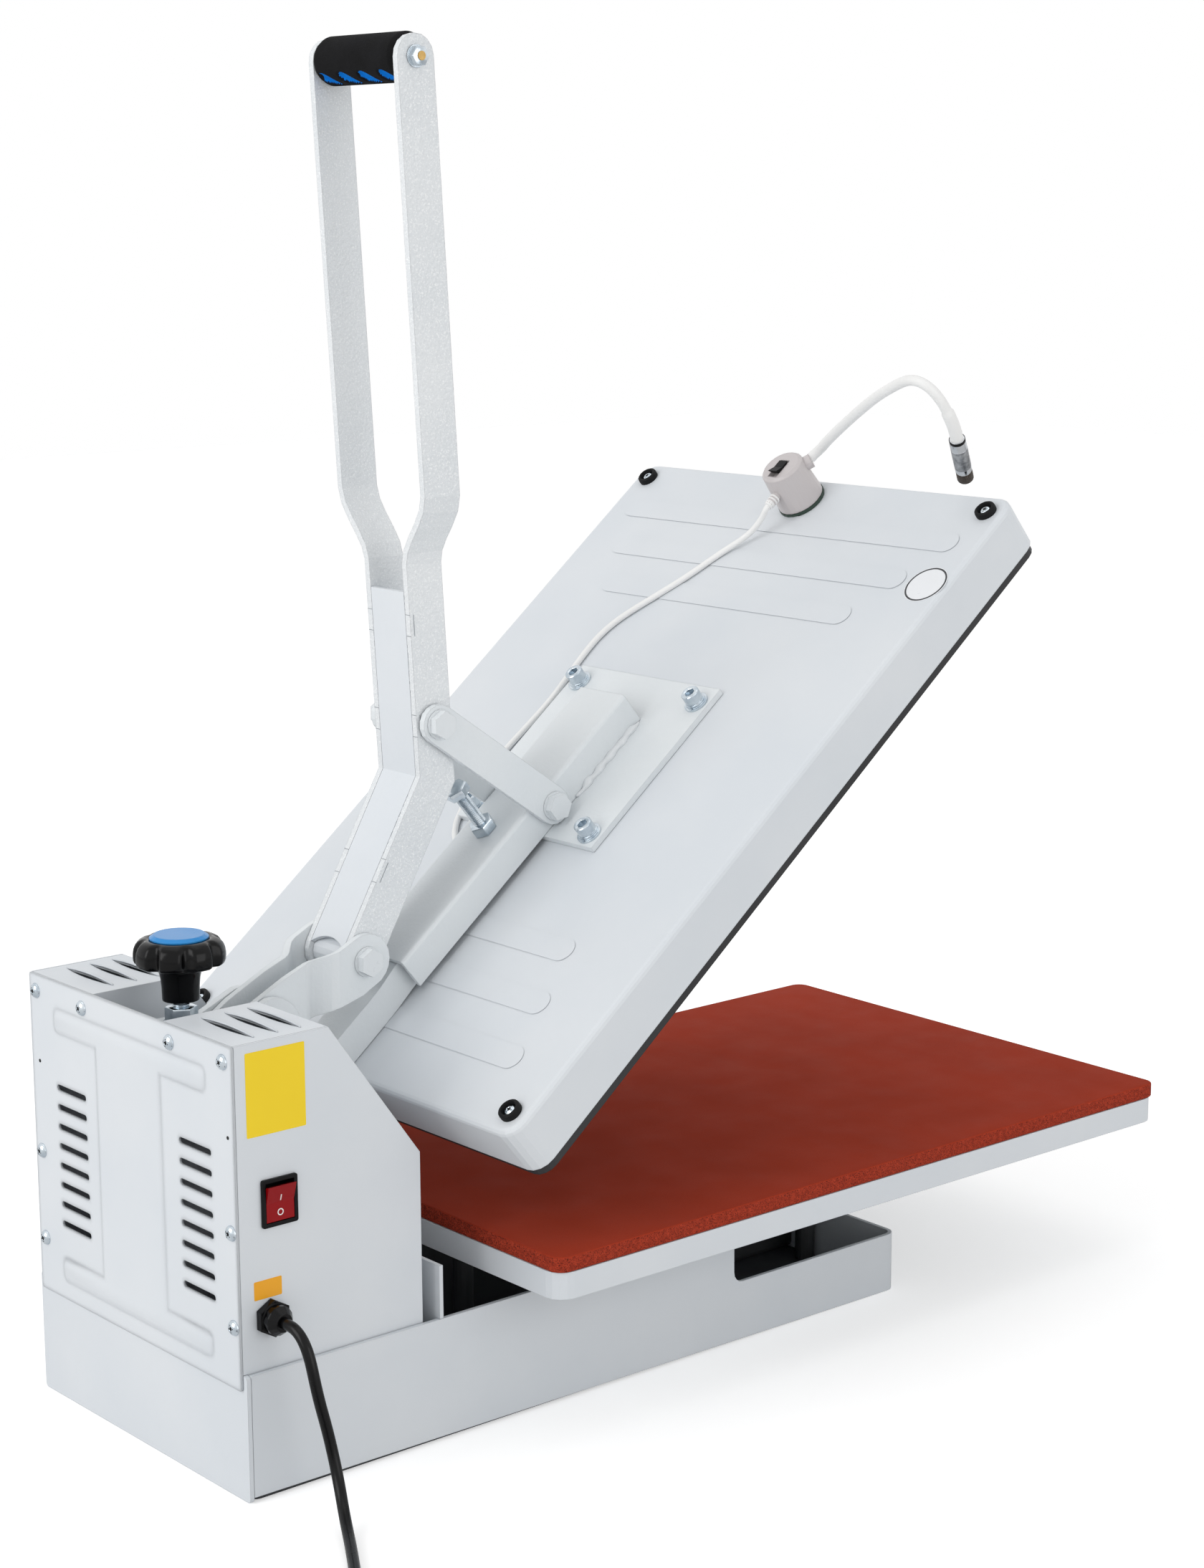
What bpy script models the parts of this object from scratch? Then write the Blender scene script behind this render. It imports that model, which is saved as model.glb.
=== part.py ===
"""Clamshell dry mounting press, 400 by 600 mm, shown open. Blender, metres, +Z up, front at -Y."""
import math

import bmesh
import bpy
from mathutils import Matrix, Vector

# Places along the press are distances in front of its rear face; heights are above the floor.
# A start is a distance along the upper platen from its rear rim, and a rise is over that rim.

clearance = 0.0003
overrun = 0.002

base_length = 0.5885
base_width = 0.2568
base_rear_height = 0.0853
base_front_height = 0.0445
base_step_distance = 0.4202
base_step_radius = 0.0085
base_corner_radius = 0.010
base_rise = 0.0035
base_sheet = 0.003
floor_sheet = 0.003
rear_plate_sheet = 0.003

spine_wall = 0.0025
spine_top = 0.106
spine_rear = 0.062
spine_corner = 0.004
rail_width = 0.040
rail_span = 0.384
rail_front_distance = 0.575
rail_rear_distance = 0.240
leg_radius = 0.0075
leg_spread = 0.042

pad_width = 0.400
pad_length = 0.6038
pad_rear = 0.1981
pad_thickness = 0.0108
pad_corner = 0.010
tray_depth = 0.0187
tray_bottom = 0.1063
tray_corner = 0.014
tray_sheet = 0.003

bracket_distance = 0.1545
bracket_sheet = 0.003
bracket_top = 0.1225
bracket_low = 0.070

housing_width = 0.2486
housing_top = 0.3008
housing_bottom = 0.075
housing_front = 0.1434
slope_top_distance = 0.073
slope_bottom_height = 0.203
gap_half = 0.0433
gap_bottom = 0.118
housing_sheet = 0.0015

vent_count = 8
vent_pitch = 0.0138
vent_length = 0.0375
vent_height = 0.0045
vent_top = 0.2263
vent_offsets = (0.0736, -0.0790)
louvre_distances = (0.0235, 0.0415, 0.0590)
louvre_length = 0.061
louvre_width = 0.0064
louvre_offset = 0.0840
press_proud = 0.0008
press_bar_top = 0.282
press_bar_height = 0.0175
press_bar_bottom = 0.088
press_bar_half = 0.0935
press_stem_half = 0.040
press_corner = 0.005

switch_distance = 0.032
switch_height = 0.195
switch_width = 0.0268
switch_tall = 0.0316
switch_rim = 0.0026
switch_lip = 0.0017
switch_proud = 0.0018
switch_depth = 0.014
switch_wall = 0.0015
button_axis_depth = 0.0005
button_deep = 0.0035
button_end_proud = 0.0042
button_middle_proud = 0.0024
button_half = 0.0122
button_rest_angle = math.radians(-8)

gland_distance = 0.0237
gland_height = 0.1196
gland_hex_radius = 0.0124
gland_hex_length = 0.005
gland_dome_radius = 0.0098
gland_dome_length = 0.0105
gland_mouth_radius = 0.006
gland_thread_radius = 0.008
gland_inside = 0.012

controller_width = 0.066
controller_length = 0.092
controller_proud = 0.0025
controller_depth = 0.022
controller_lip = 0.003
controller_corner = 0.005
controller_offset = 0.0838

relay_width = 0.026
relay_length = 0.045
relay_height = 0.058
relay_distance = 0.095
relay_low = 0.125

upright_sheet = 0.006
upright_inner = 0.0167
hinge_distance = 0.1181
hinge_height = 0.14795
hinge_pin_radius = 0.008
rocker_pivot_distance = 0.0995
rocker_pivot_height = 0.2715
rocker_pin_radius = 0.006
lug_radius = 0.022
lug_shoulder_height = 0.170
upright_rear = 0.060
ledge_rear = 0.027
ledge_height = 0.2775
ledge_depth = 0.016
ledge_foot_height = 0.215
pin_head = 0.004
pin_lip = 0.003

screw_distance = 0.0425
screw_radius = 0.006
screw_low = 0.234
screw_high = 0.330
screw_bracket_corner = 0.003
screw_bracket_sheet = 0.004
screw_bracket_deep = 0.030
adjust_nut_radius = 0.0105
adjust_nut_height = 0.0105
adjust_washer_radius = 0.0112
adjust_washer_height = 0.002
trunnion_height = 0.260
trunnion_radius = 0.009
trunnion_pin_radius = 0.004
trunnion_play = 0.0012

knob_bottom = 0.299
knob_rim_low = 0.317
knob_rim_high = 0.336
knob_top = 0.3412
knob_radius = 0.0305
knob_neck_radius = 0.0142
knob_waist_radius = 0.0124
knob_edge = 0.005
knob_lobes = 8
knob_groove = 0.006
knob_groove_deep = 0.003
knob_cap_radius = 0.0196
knob_cap_sunk = 0.0010
knob_cap_height = 0.0028

rocker_sheet = 0.005
rocker_inner = 0.0102
rocker_outer = 0.0244
rocker_bend_rear = 0.1325
rocker_bend_front = 0.1505
joggle_shares = (0, 0.2, 0.4, 0.6, 0.8, 1)
rocker_nose_radius = 0.019
rocker_nose_start = math.radians(61)
rocker_nose_end = math.radians(232)
rocker_hub_radius = 0.0205
rocker_hub_start = math.radians(205)
rocker_tail_radius = 0.011
rocker_shoulder_distance = 0.138
rocker_shoulder_height = 0.312
rocker_crest_distance = 0.1154
rocker_crest_height = 0.303
rocker_back_distance = 0.086
rocker_back_height = 0.2885
rocker_belly_distance = 0.151
rocker_belly_height = 0.2797
rocker_chin_distance = 0.169
rocker_chin_height = 0.285

lever_pivot_distance = 0.172
lever_pivot_height = 0.308
lever_knee_distance = 0.2383
lever_knee_height = 0.4245
lever_top_distance = 0.211
lever_top_height = 0.905
lever_sheet = 0.005
lever_width = 0.0292
lever_low_half = 0.0240
lever_high_half = 0.0495
lever_bend_low = 0.5745
lever_bend_high = 0.6215
lever_pin_radius = 0.006
barrel_radius = 0.011
web_sheet = 0.003
web_top = 0.556
web_notch_radius = 0.030
web_notch_top = 0.007
bolt_head_radius = 0.0098
bolt_head_height = 0.0055
bolt_washer_radius = 0.0105
bolt_washer_height = 0.0012

grip_radius = 0.0162
grip_neck_radius = 0.0148
grip_end = 0.004
grip_finger_radius = 0.010
grip_finger_deep = 0.0022
grip_fingers = 4
grip_bolt_radius = 0.005
grip_nut_radius = 0.0085
grip_nut_height = 0.007

link_lever_distance = 0.236
link_lever_height = 0.4638
link_arm_start = 0.2418
link_arm_rise = 0.0575
link_width = 0.027
link_sheet = 0.005
link_inner = 0.0256
link_bolt_radius = 0.005

open_angle = math.radians(39.03)
cover_width = 0.3975
cover_length = 0.5985
cover_height = 0.0388
cover_corner = 0.014
cover_edge = 0.004
cover_sheet = 0.0015
rim_rear = 0.2007
rim_height = 0.1436
heat_below = 0.0067
heat_above = 0.006
element_radius = 0.004
element_runs = 6
element_margin = 0.050
insulation_inset = 0.006

mount_width = 0.153
mount_start = 0.2235
mount_end = 0.380
mount_sheet = 0.0045

channel_half = 0.025
channel_sheet = 0.003
channel_start = 0.0805
channel_end = 0.3405
channel_top = 0.0690
channel_edge = 0.003

tube_half = 0.016
tube_low = 0.0415
tube_high = 0.0655
tube_run_low = 0.0394
tube_run_high = 0.0624
tube_knee_start = 0.048
tube_knee_length = 0.040
tube_knee_shares = ((0, 0), (0.3, 0.10), (0.75, 0.80), (1, 1))
tube_end = 0.188
tube_bend_distance = 0.1985
tube_wall = 0.003
tube_hub_radius = 0.0195
tube_top_bend_distance = 0.192
tail_back = 0.0323
tail_rise = 0.0159
tail_width = 0.016
tail_half = 0.003
tail_pin_radius = 0.004
tail_pin_half = 0.0155
spring_radius = 0.005
spring_wire = 0.0011
spring_turns = 6
spring_spread = 0.0095

stop_start = 0.2015
stop_radius = 0.005
stop_bottom = 0.050
stop_top = 0.106
stop_head_radius = 0.0095
stop_head_height = 0.0065
stop_nut_height = 0.008

lamp_start = 0.5746
lamp_radius = 0.0185
lamp_top_radius = 0.0168
lamp_top = 0.0748
lamp_edge = 0.002
lamp_ring_radius = 0.0189
lamp_ring_height = 0.0025
lamp_button_width = 0.0085
lamp_button_length = 0.014
lamp_button_proud = 0.0024
lamp_button_deep = 0.004
lamp_button_back = 0.003
lamp_button_rest_angle = math.radians(9)
collar_start = 0.590
collar_rise = 0.066
collar_x = -0.0125
collar_radius = 0.0055
collar_length = 0.008
neck_radius = 0.0038
laser_radius = 0.0055
laser_length = 0.036
relief_radius = 0.0036
relief_length = 0.011
relief_rise = 0.060
cable_radius = 0.0018

cord_radius = 0.0038
coil_radius = 0.0390
coil_band = 0.0286
coil_high = 0.0156
coil_corner = 0.0036
coil_x = -0.294
coil_distance = -0.089
coil_meet_x = 0.0002
coil_meet_y = -0.0581
coil_lead = 0.020
plug_gap = 0.033
plug_tilt = math.radians(12.5)
plug_length = 0.036
plug_face_radius = 0.0175
plug_neck_radius = 0.007
pin_length = 0.019
pin_radius = 0.0024
pin_spread = 0.0095

half_turn = math.pi
quarter_turn = math.pi / 2
rear_y = base_length / 2
tray_top = tray_bottom + tray_depth
housing_rear = housing_sheet + clearance
bracket_plate_top = ledge_height + clearance + screw_bracket_sheet


def back(distance):
    return rear_y - distance


def side_place(distance, height):
    return (back(distance), height)


def on_platen(start, rise):
    """(y, z) in the arm's own frame, which is level when the press is shut."""
    return (hinge_distance - rim_rear - start, rim_height - hinge_height + rise)


def opened(place):
    """The side place of a point of the arm when the press is open."""
    turned_place = Matrix.Rotation(-open_angle, 2) @ Vector(place)
    return (arm_hinge[0] + turned_place.x, arm_hinge[1] + turned_place.y)


arm_hinge = side_place(hinge_distance, hinge_height)
rocker_hinge = side_place(rocker_pivot_distance, rocker_pivot_height)
lever_hinge = side_place(lever_pivot_distance, lever_pivot_height)
lever_knee = side_place(lever_knee_distance, lever_knee_height)
lever_top = side_place(lever_top_distance, lever_top_height)
trunnion_axis = side_place(screw_distance, trunnion_height)
link_on_lever = side_place(link_lever_distance, link_lever_height)
link_on_arm = opened(on_platen(link_arm_start, link_arm_rise))

for old in list(bpy.data.objects):
    bpy.data.objects.remove(old)

parts = bpy.data.collections.new("dry_mounting_press")
cutters = bpy.data.collections.new("cutters")
for group in (parts, cutters):
    bpy.context.scene.collection.children.link(group)

finishes = {
    "grey_paint": ((0.60, 0.62, 0.64), 0.45, 0.0),
    "arm_paint": ((0.58, 0.60, 0.60), 0.40, 0.0),
    "silicone": ((0.55, 0.06, 0.03), 0.70, 0.0),
    "black_plastic": ((0.02, 0.02, 0.02), 0.35, 0.0),
    "blue_plastic": ((0.05, 0.28, 0.68), 0.35, 0.0),
    "red_plastic": ((0.45, 0.01, 0.01), 0.25, 0.0),
    "foam": ((0.02, 0.02, 0.02), 0.90, 0.0),
    "zinc": ((0.62, 0.66, 0.70), 0.30, 0.9),
    "heat_alloy": ((0.06, 0.06, 0.06), 0.50, 0.3),
    "lamp_plastic": ((0.55, 0.52, 0.52), 0.45, 0.0),
    "green_plastic": ((0.03, 0.10, 0.07), 0.50, 0.0),
    "neck_plastic": ((0.75, 0.75, 0.74), 0.45, 0.0),
    "bright_metal": ((0.70, 0.70, 0.70), 0.20, 1.0),
    "fibre": ((0.80, 0.78, 0.70), 0.95, 0.0),
}

facings = {
    "x": Matrix(((0, 0, 1), (1, 0, 0), (0, 1, 0))).to_4x4(),
    "y": Matrix(((1, 0, 0), (0, 0, -1), (0, 1, 0))).to_4x4(),
    "z": Matrix.Identity(4),
}
directions = {"x": Vector((1, 0, 0)), "y": Vector((0, 1, 0)), "z": Vector((0, 0, 1))}


def new_empty(name, location, rotation=(0, 0, 0), parent=None):
    empty = bpy.data.objects.new(name, None)
    empty.location = location
    empty.rotation_euler = rotation
    empty.empty_display_size = lug_radius
    empty.parent = parent
    parts.objects.link(empty)
    return empty


def add_object(name, data, finish, parent=None, matrix=None):
    colour, roughness, metallic = finishes[finish]
    material = bpy.data.materials.new(name + "_finish")
    material.use_nodes = True
    shader = material.node_tree.nodes["Principled BSDF"]
    shader.inputs["Base Color"].default_value = (*colour, 1)
    shader.inputs["Roughness"].default_value = roughness
    shader.inputs["Metallic"].default_value = metallic
    material.diffuse_color = (*colour, 1)
    data.materials.append(material)
    obj = bpy.data.objects.new(name, data)
    obj.parent = parent
    if matrix is not None:
        obj.matrix_local = matrix
    parts.objects.link(obj)
    return obj


def arc(centre, radius, start, end, steps):
    angles = [start + (end - start) * step / steps for step in range(steps + 1)]
    return [(centre[0] + radius * math.cos(a), centre[1] + radius * math.sin(a)) for a in angles]


def circle(centre, radius, steps=16):
    return arc(centre, radius, 0, 2 * half_turn, steps)[:-1]


def rounded(width, length, radius, centre=(0, 0), steps=4):
    across = width / 2 - radius
    along_it = length / 2 - radius
    corners = ((across, along_it), (-across, along_it), (-across, -along_it), (across, -along_it))
    points = []
    for turn, corner in enumerate(corners):
        middle = (centre[0] + corner[0], centre[1] + corner[1])
        points += arc(middle, radius, turn * quarter_turn, (turn + 1) * quarter_turn, steps)
    return points


def lens(length, width, centre, steps=6):
    """A slit between two shallow arcs that meet in points."""
    shares = [2 * step / steps - 1 for step in range(steps + 1)]
    places = [(length / 2 * share, width / 2 * (1 - share * share)) for share in shares[:-1]]
    far_side = [(centre[0] - x, centre[1] + y) for x, y in places]
    near_side = [(centre[0] + x, centre[1] - y) for x, y in places]
    return far_side + near_side


def heading(start, end):
    return math.atan2(end[1] - start[1], end[0] - start[0])


def strip(start, end, width, steps=8):
    angle = heading(start, end)
    first = arc(start, width / 2, angle + quarter_turn, angle + quarter_turn + half_turn, steps)
    last = arc(end, width / 2, angle - quarter_turn, angle + quarter_turn, steps)
    return first + last


def beside(start, knee, end, offset):
    """The bent path start, knee, end, moved to its right by an offset."""
    first = heading(start, knee)
    second = heading(knee, end)
    middle = (first + second) / 2
    reach = offset / math.cos((second - first) / 2)
    moves = ((start, first, offset), (knee, middle, reach), (end, second, offset))
    return [(p[0] + by * math.sin(a), p[1] - by * math.cos(a)) for p, a, by in moves]


def bent_strip(start, knee, end, width, steps=8):
    first = heading(start, knee)
    second = heading(knee, end)
    start_cap = arc(start, width / 2, first + quarter_turn, first + quarter_turn + half_turn, steps)
    end_cap = arc(end, width / 2, second - quarter_turn, second + quarter_turn, steps)
    right = beside(start, knee, end, width / 2)[1]
    left = beside(start, knee, end, -width / 2)[1]
    return start_cap + [right] + end_cap + [left]


def relative(points, origin):
    return [(point[0] - origin[0], point[1] - origin[1]) for point in points]


def toward(start, end, distance):
    angle = heading(start, end)
    return (start[0] + distance * math.cos(angle), start[1] + distance * math.sin(angle))


def mesh_from(work):
    mesh = bpy.data.meshes.new("shape")
    work.to_mesh(mesh)
    work.free()
    return mesh


def smooth(mesh):
    mesh.shade_smooth()
    mesh.set_sharp_from_angle(angle=quarter_turn / 3)


def as_mesh(obj):
    """A mesh object in place of a curve object, with the curve's end caps welded on."""
    name = obj.name
    bpy.context.view_layer.update()
    seen = obj.evaluated_get(bpy.context.evaluated_depsgraph_get())
    mesh = bpy.data.meshes.new_from_object(seen)
    work = bmesh.new()
    work.from_mesh(mesh)
    bmesh.ops.remove_doubles(work, verts=work.verts, dist=clearance / 10)
    work.to_mesh(mesh)
    work.free()
    solid = bpy.data.objects.new(name + "_solid", mesh)
    solid.parent = obj.parent
    solid.matrix_local = obj.matrix_local
    parts.objects.link(solid)
    bpy.data.objects.remove(obj)
    solid.name = name
    return solid


def plate(name, loops, facing, low, thickness, finish, parent=None):
    """A flat outline with holes, stood at right angles to the named axis from a low face."""
    curve = bpy.data.curves.new(name, "CURVE")
    curve.dimensions = "2D"
    curve.fill_mode = "BOTH"
    curve.extrude = thickness / 2
    for loop in loops:
        spline = curve.splines.new("POLY")
        spline.points.add(len(loop) - 1)
        spline.use_cyclic_u = True
        for point, place in zip(spline.points, loop):
            point.co = (place[0], place[1], 0, 1)
    place = Matrix.Translation(directions[facing] * (low + thickness / 2)) @ facings[facing]
    return as_mesh(add_object(name, curve, finish, parent, place))


def along(facing, centre):
    return Matrix.Translation(centre) @ facings[facing]


def bar_mesh(radius, length, steps=16, end_radius=None):
    work = bmesh.new()
    top = radius if end_radius is None else end_radius
    bmesh.ops.create_cone(work, cap_ends=True, segments=steps, radius1=radius, radius2=top, depth=length)
    mesh = mesh_from(work)
    smooth(mesh)
    return mesh


def box_mesh(size):
    work = bmesh.new()
    bmesh.ops.create_cube(work, size=1)
    bmesh.ops.scale(work, vec=size, verts=work.verts)
    return mesh_from(work)


def rod(name, radius, length, facing, centre, finish, parent=None, steps=16):
    return add_object(name, bar_mesh(radius, length, steps), finish, parent, along(facing, centre))


def box(name, size, centre, finish, parent=None):
    return add_object(name, box_mesh(size), finish, parent, Matrix.Translation(centre))


def tool(name, data, matrix, parent=None):
    obj = bpy.data.objects.new(name, data)
    obj.parent = parent
    obj.matrix_local = matrix
    obj.display_type = "WIRE"
    obj.hide_render = True
    cutters.objects.link(obj)
    return obj


def combine(target, other, operation):
    modifier = target.modifiers.new(other.name, "BOOLEAN")
    modifier.object = other
    modifier.operation = operation
    modifier.solver = "EXACT"


def use_up(other, target, operation="DIFFERENCE"):
    """Cut or join a target with a piece that is only a tool."""
    parts.objects.unlink(other)
    cutters.objects.link(other)
    other.display_type = "WIRE"
    other.hide_render = True
    combine(target, other, operation)


def cut_plate(target, name, loops, facing, low, thickness, parent=None):
    use_up(plate(target.name + name, loops, facing, low, thickness, "zinc", parent), target)


def drill(target, radius, facing, centre, length, steps=16):
    matrix = along(facing, centre)
    combine(target, tool(target.name + "_hole", bar_mesh(radius, length, steps), matrix, target.parent),
            "DIFFERENCE")


def join_bar(target, radius, length, facing, centre, steps=16):
    matrix = along(facing, centre)
    combine(target, tool(target.name + "_boss", bar_mesh(radius, length, steps), matrix, target.parent),
            "UNION")


def join_box(target, size, centre):
    matrix = Matrix.Translation(centre)
    combine(target, tool(target.name + "_block", box_mesh(size), matrix, target.parent), "UNION")


def cut_box(target, size, centre, parent=None):
    matrix = Matrix.Translation(centre)
    combine(target, tool(target.name + "_cut", box_mesh(size), matrix, parent), "DIFFERENCE")


def turned(name, profile, finish, parent=None, matrix=None, steps=24, closed=False):
    """A solid of revolution about its own Z, from (radius, height) points run down the outer side."""
    work = bmesh.new()
    verts = [work.verts.new((radius, 0, height)) for radius, height in profile]
    for first, second in zip(verts, verts[1:]):
        work.edges.new((first, second))
    if closed:
        work.edges.new((verts[-1], verts[0]))
    obj = add_object(name, mesh_from(work), finish, parent, matrix)
    screw = obj.modifiers.new("turn", "SCREW")
    screw.axis = "Z"
    screw.steps = steps
    screw.render_steps = steps
    screw.use_merge_vertices = True
    screw.merge_threshold = clearance / 30
    screw.use_smooth_shade = True
    return obj


def headed_pin(name, radius, half, head_radius, head_height, finish, parent, centre, sides=16):
    """A crosswise pin with a head beyond each end of its shank."""
    pin = rod(name, radius, 2 * half + head_height, "x", centre, finish, parent, 16)
    for side in (-1, 1):
        middle = Vector(centre) + directions["x"] * side * (half + head_height / 2)
        join_bar(pin, head_radius, head_height, "x", middle, sides)
    return pin


def tube(name, points, radius, finish, parent=None, resolution=2):
    curve = bpy.data.curves.new(name, "CURVE")
    curve.dimensions = "3D"
    curve.bevel_depth = radius
    curve.bevel_resolution = resolution
    curve.use_fill_caps = True
    spline = curve.splines.new("POLY")
    spline.points.add(len(points) - 1)
    for point, place in zip(spline.points, points):
        point.co = (*place, 1)
    return add_object(name, curve, finish, parent)


def smooth_route(route, spacing):
    """Points about a spacing apart on a smooth curve through the route's own points."""
    knots = [Vector(route[0])] + [Vector(point) for point in route] + [Vector(route[-1])]
    points = [knots[1]]
    for index in range(1, len(knots) - 2):
        before, start, end, after = knots[index - 1:index + 3]
        steps = max(2, round((end - start).length / spacing))
        bend = 2 * before - 5 * start + 4 * end - after
        curl = 3 * start - before - 3 * end + after
        for step in range(1, steps + 1):
            t = step / steps
            points.append((2 * start + (end - before) * t + bend * t * t + curl * t ** 3) / 2)
    return points


def joggled(name, outline, axis, bends, offsets, thickness, side, finish, parent):
    """An upright plate whose middle band curves sideways, from one inner offset to the other."""
    work = bmesh.new()
    verts = [work.verts.new((0, place[0], place[1])) for place in outline]
    edges = [work.edges.new((verts[index - 1], verts[index])) for index in range(len(verts))]
    bmesh.ops.contextual_create(work, geom=edges)
    normal = directions["y" if axis == 1 else "z"]
    for share in joggle_shares:
        bend = bends[0] + share * (bends[1] - bends[0])
        geometry = work.verts[:] + work.edges[:] + work.faces[:]
        bmesh.ops.bisect_plane(work, geom=geometry, plane_co=normal * bend, plane_no=normal)
    for vert in work.verts:
        part = (vert.co[axis] - bends[0]) / (bends[1] - bends[0])
        part = min(max(part, 0), 1)
        part = part * part * (3 - 2 * part)
        vert.co.x = side * (offsets[0] + part * (offsets[1] - offsets[0]))
    bmesh.ops.recalc_face_normals(work, faces=work.faces)
    work.normal_update()
    inward = [face for face in work.faces if face.normal.x * side < 0]
    if inward:
        bmesh.ops.reverse_faces(work, faces=work.faces)
    obj = add_object(name, mesh_from(work), finish, parent)
    solidify(obj, thickness, 1)
    return obj


def solidify(obj, thickness, offset):
    modifier = obj.modifiers.new("thickness", "SOLIDIFY")
    modifier.thickness = thickness
    modifier.offset = offset
    modifier.use_even_offset = True


def pressed_tray(name, ring, top, depth, sheet, edge, finish, parent=None):
    """A shallow sheet tray, open below, with its walls folded down from the outline."""
    work = bmesh.new()
    verts = [work.verts.new((x, y, top)) for x, y in ring]
    edges = [work.edges.new((verts[index - 1], verts[index])) for index in range(len(verts))]
    bmesh.ops.contextual_create(work, geom=edges)
    skirt = bmesh.ops.extrude_edge_only(work, edges=edges)
    moved = [item for item in skirt["geom"] if isinstance(item, bmesh.types.BMVert)]
    bmesh.ops.translate(work, vec=(0, 0, -depth), verts=moved)
    if edge:
        rim = [item for item in work.edges if all(vert.co.z > top - clearance for vert in item.verts)]
        bmesh.ops.bevel(work, geom=rim, offset=edge, segments=3, profile=0.5, affect="EDGES")
    bmesh.ops.recalc_face_normals(work, faces=work.faces)
    mesh = mesh_from(work)
    smooth(mesh)
    facing_up = max(mesh.polygons, key=lambda face: face.area).normal.z > 0
    tray = add_object(name, mesh, finish, parent)
    solidify(tray, sheet, -1 if facing_up else 1)
    return tray


def make_base():
    half = base_width / 2
    front = back(base_length)
    rear = back(housing_rear + rear_plate_sheet + clearance)
    corner_y = front + base_corner_radius
    corner_x = half - base_corner_radius
    left = arc((-corner_x, corner_y), base_corner_radius, half_turn, 3 * quarter_turn, 4)
    right = [(-x, y) for x, y in reversed(left)]
    work = bmesh.new()
    verts = [work.verts.new((x, y, 0)) for x, y in [(-half, rear)] + left + right + [(half, rear)]]
    edges = [work.edges.new(pair) for pair in zip(verts, verts[1:])]
    raised = bmesh.ops.extrude_edge_only(work, edges=edges)
    moved = [item for item in raised["geom"] if isinstance(item, bmesh.types.BMVert)]
    bmesh.ops.translate(work, vec=(0, 0, base_rear_height), verts=moved)
    bmesh.ops.recalc_face_normals(work, faces=work.faces)
    mesh = mesh_from(work)
    side_faces = [face for face in mesh.polygons if face.center.x < -half + clearance]
    facing_out = side_faces[0].normal.x < 0
    base = add_object("base_frame", mesh, "grey_paint")
    solidify(base, base_sheet, -1 if facing_out else 1)
    middle = (back(base_step_distance + base_step_radius), base_front_height + base_step_radius)
    fillet = arc(middle, base_step_radius, 0, -quarter_turn, 4)
    past_front = front - overrun
    above = base_rear_height + overrun
    step = fillet + [(past_front, base_front_height), (past_front, above), (fillet[0][0], above)]
    level = front + 2 * base_corner_radius
    rise = [(rear + overrun, -overrun), (rear + overrun, base_rise), (level, 0), (level, -overrun)]
    span = base_width + 2 * overrun
    cut_plate(base, "_step", [step], "x", -span / 2, span)
    cut_plate(base, "_rise", [rise], "x", -span / 2, span)
    outline = rounded(base_width, base_rear_height, base_sheet, (0, base_rear_height / 2))
    plate("rear_plate", [outline], "y", rear + clearance, rear_plate_sheet, "grey_paint")
    inner = base_width - 2 * (base_sheet + clearance)
    floor_front = front + base_sheet + clearance
    centre = (0, (rear + floor_front) / 2)
    outline = rounded(inner, rear - floor_front, base_corner_radius - base_sheet, centre)
    plate("base_floor", [outline], "z", 0, floor_sheet, "grey_paint")


def make_lower_platen():
    half = upright_inner - clearance
    low = floor_sheet + clearance
    front = back(base_length) + base_sheet + clearance
    middle = (low + spine_top) / 2
    outer = rounded(2 * half, spine_top - low, spine_corner, (0, middle), 2)
    bore = spine_corner - spine_wall
    inner = rounded(2 * (half - spine_wall), spine_top - low - 2 * spine_wall, bore, (0, middle), 2)
    plate("spine", [outer, inner], "y", front, back(spine_rear) - front, "grey_paint")
    rail_low = spine_top + clearance
    rail_high = tray_top - tray_sheet - clearance
    for name, place in (("front", rail_front_distance), ("rear", rail_rear_distance)):
        centre = (0, back(place), (rail_low + rail_high) / 2)
        rail = box("platen_rail_" + name, (rail_span, rail_width, rail_high - rail_low), centre, "grey_paint")
        for side in (-1, 1):
            middle = (rail_low + rail_high) / 2
            foot = (side * leg_spread, back(place), (low + middle) / 2)
            join_bar(rail, leg_radius, middle - low, "z", foot)
    ring = rounded(pad_width, pad_length, tray_corner, (0, back(pad_rear) - pad_length / 2))
    pressed_tray("lower_plate", ring, tray_top, tray_depth, tray_sheet, 0, "grey_paint")
    ring = rounded(pad_width, pad_length, pad_corner, (0, back(pad_rear) - pad_length / 2))
    plate("lower_pad", [ring], "z", tray_top + clearance, pad_thickness, "silicone")


def make_bracket():
    half = base_width / 2
    inner = half - base_sheet - clearance
    ledge = base_rear_height + clearance
    slot = upright_inner
    spine_over = spine_top + clearance
    right = [(slot, spine_over), (slot, bracket_low), (inner, bracket_low), (inner, ledge), (half, ledge)]
    right.append((half, bracket_top))
    left = [(-x, z) for x, z in reversed(right)]
    plate("cross_bracket", [right + left], "y", back(bracket_distance + bracket_sheet), bracket_sheet,
          "grey_paint")


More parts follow.
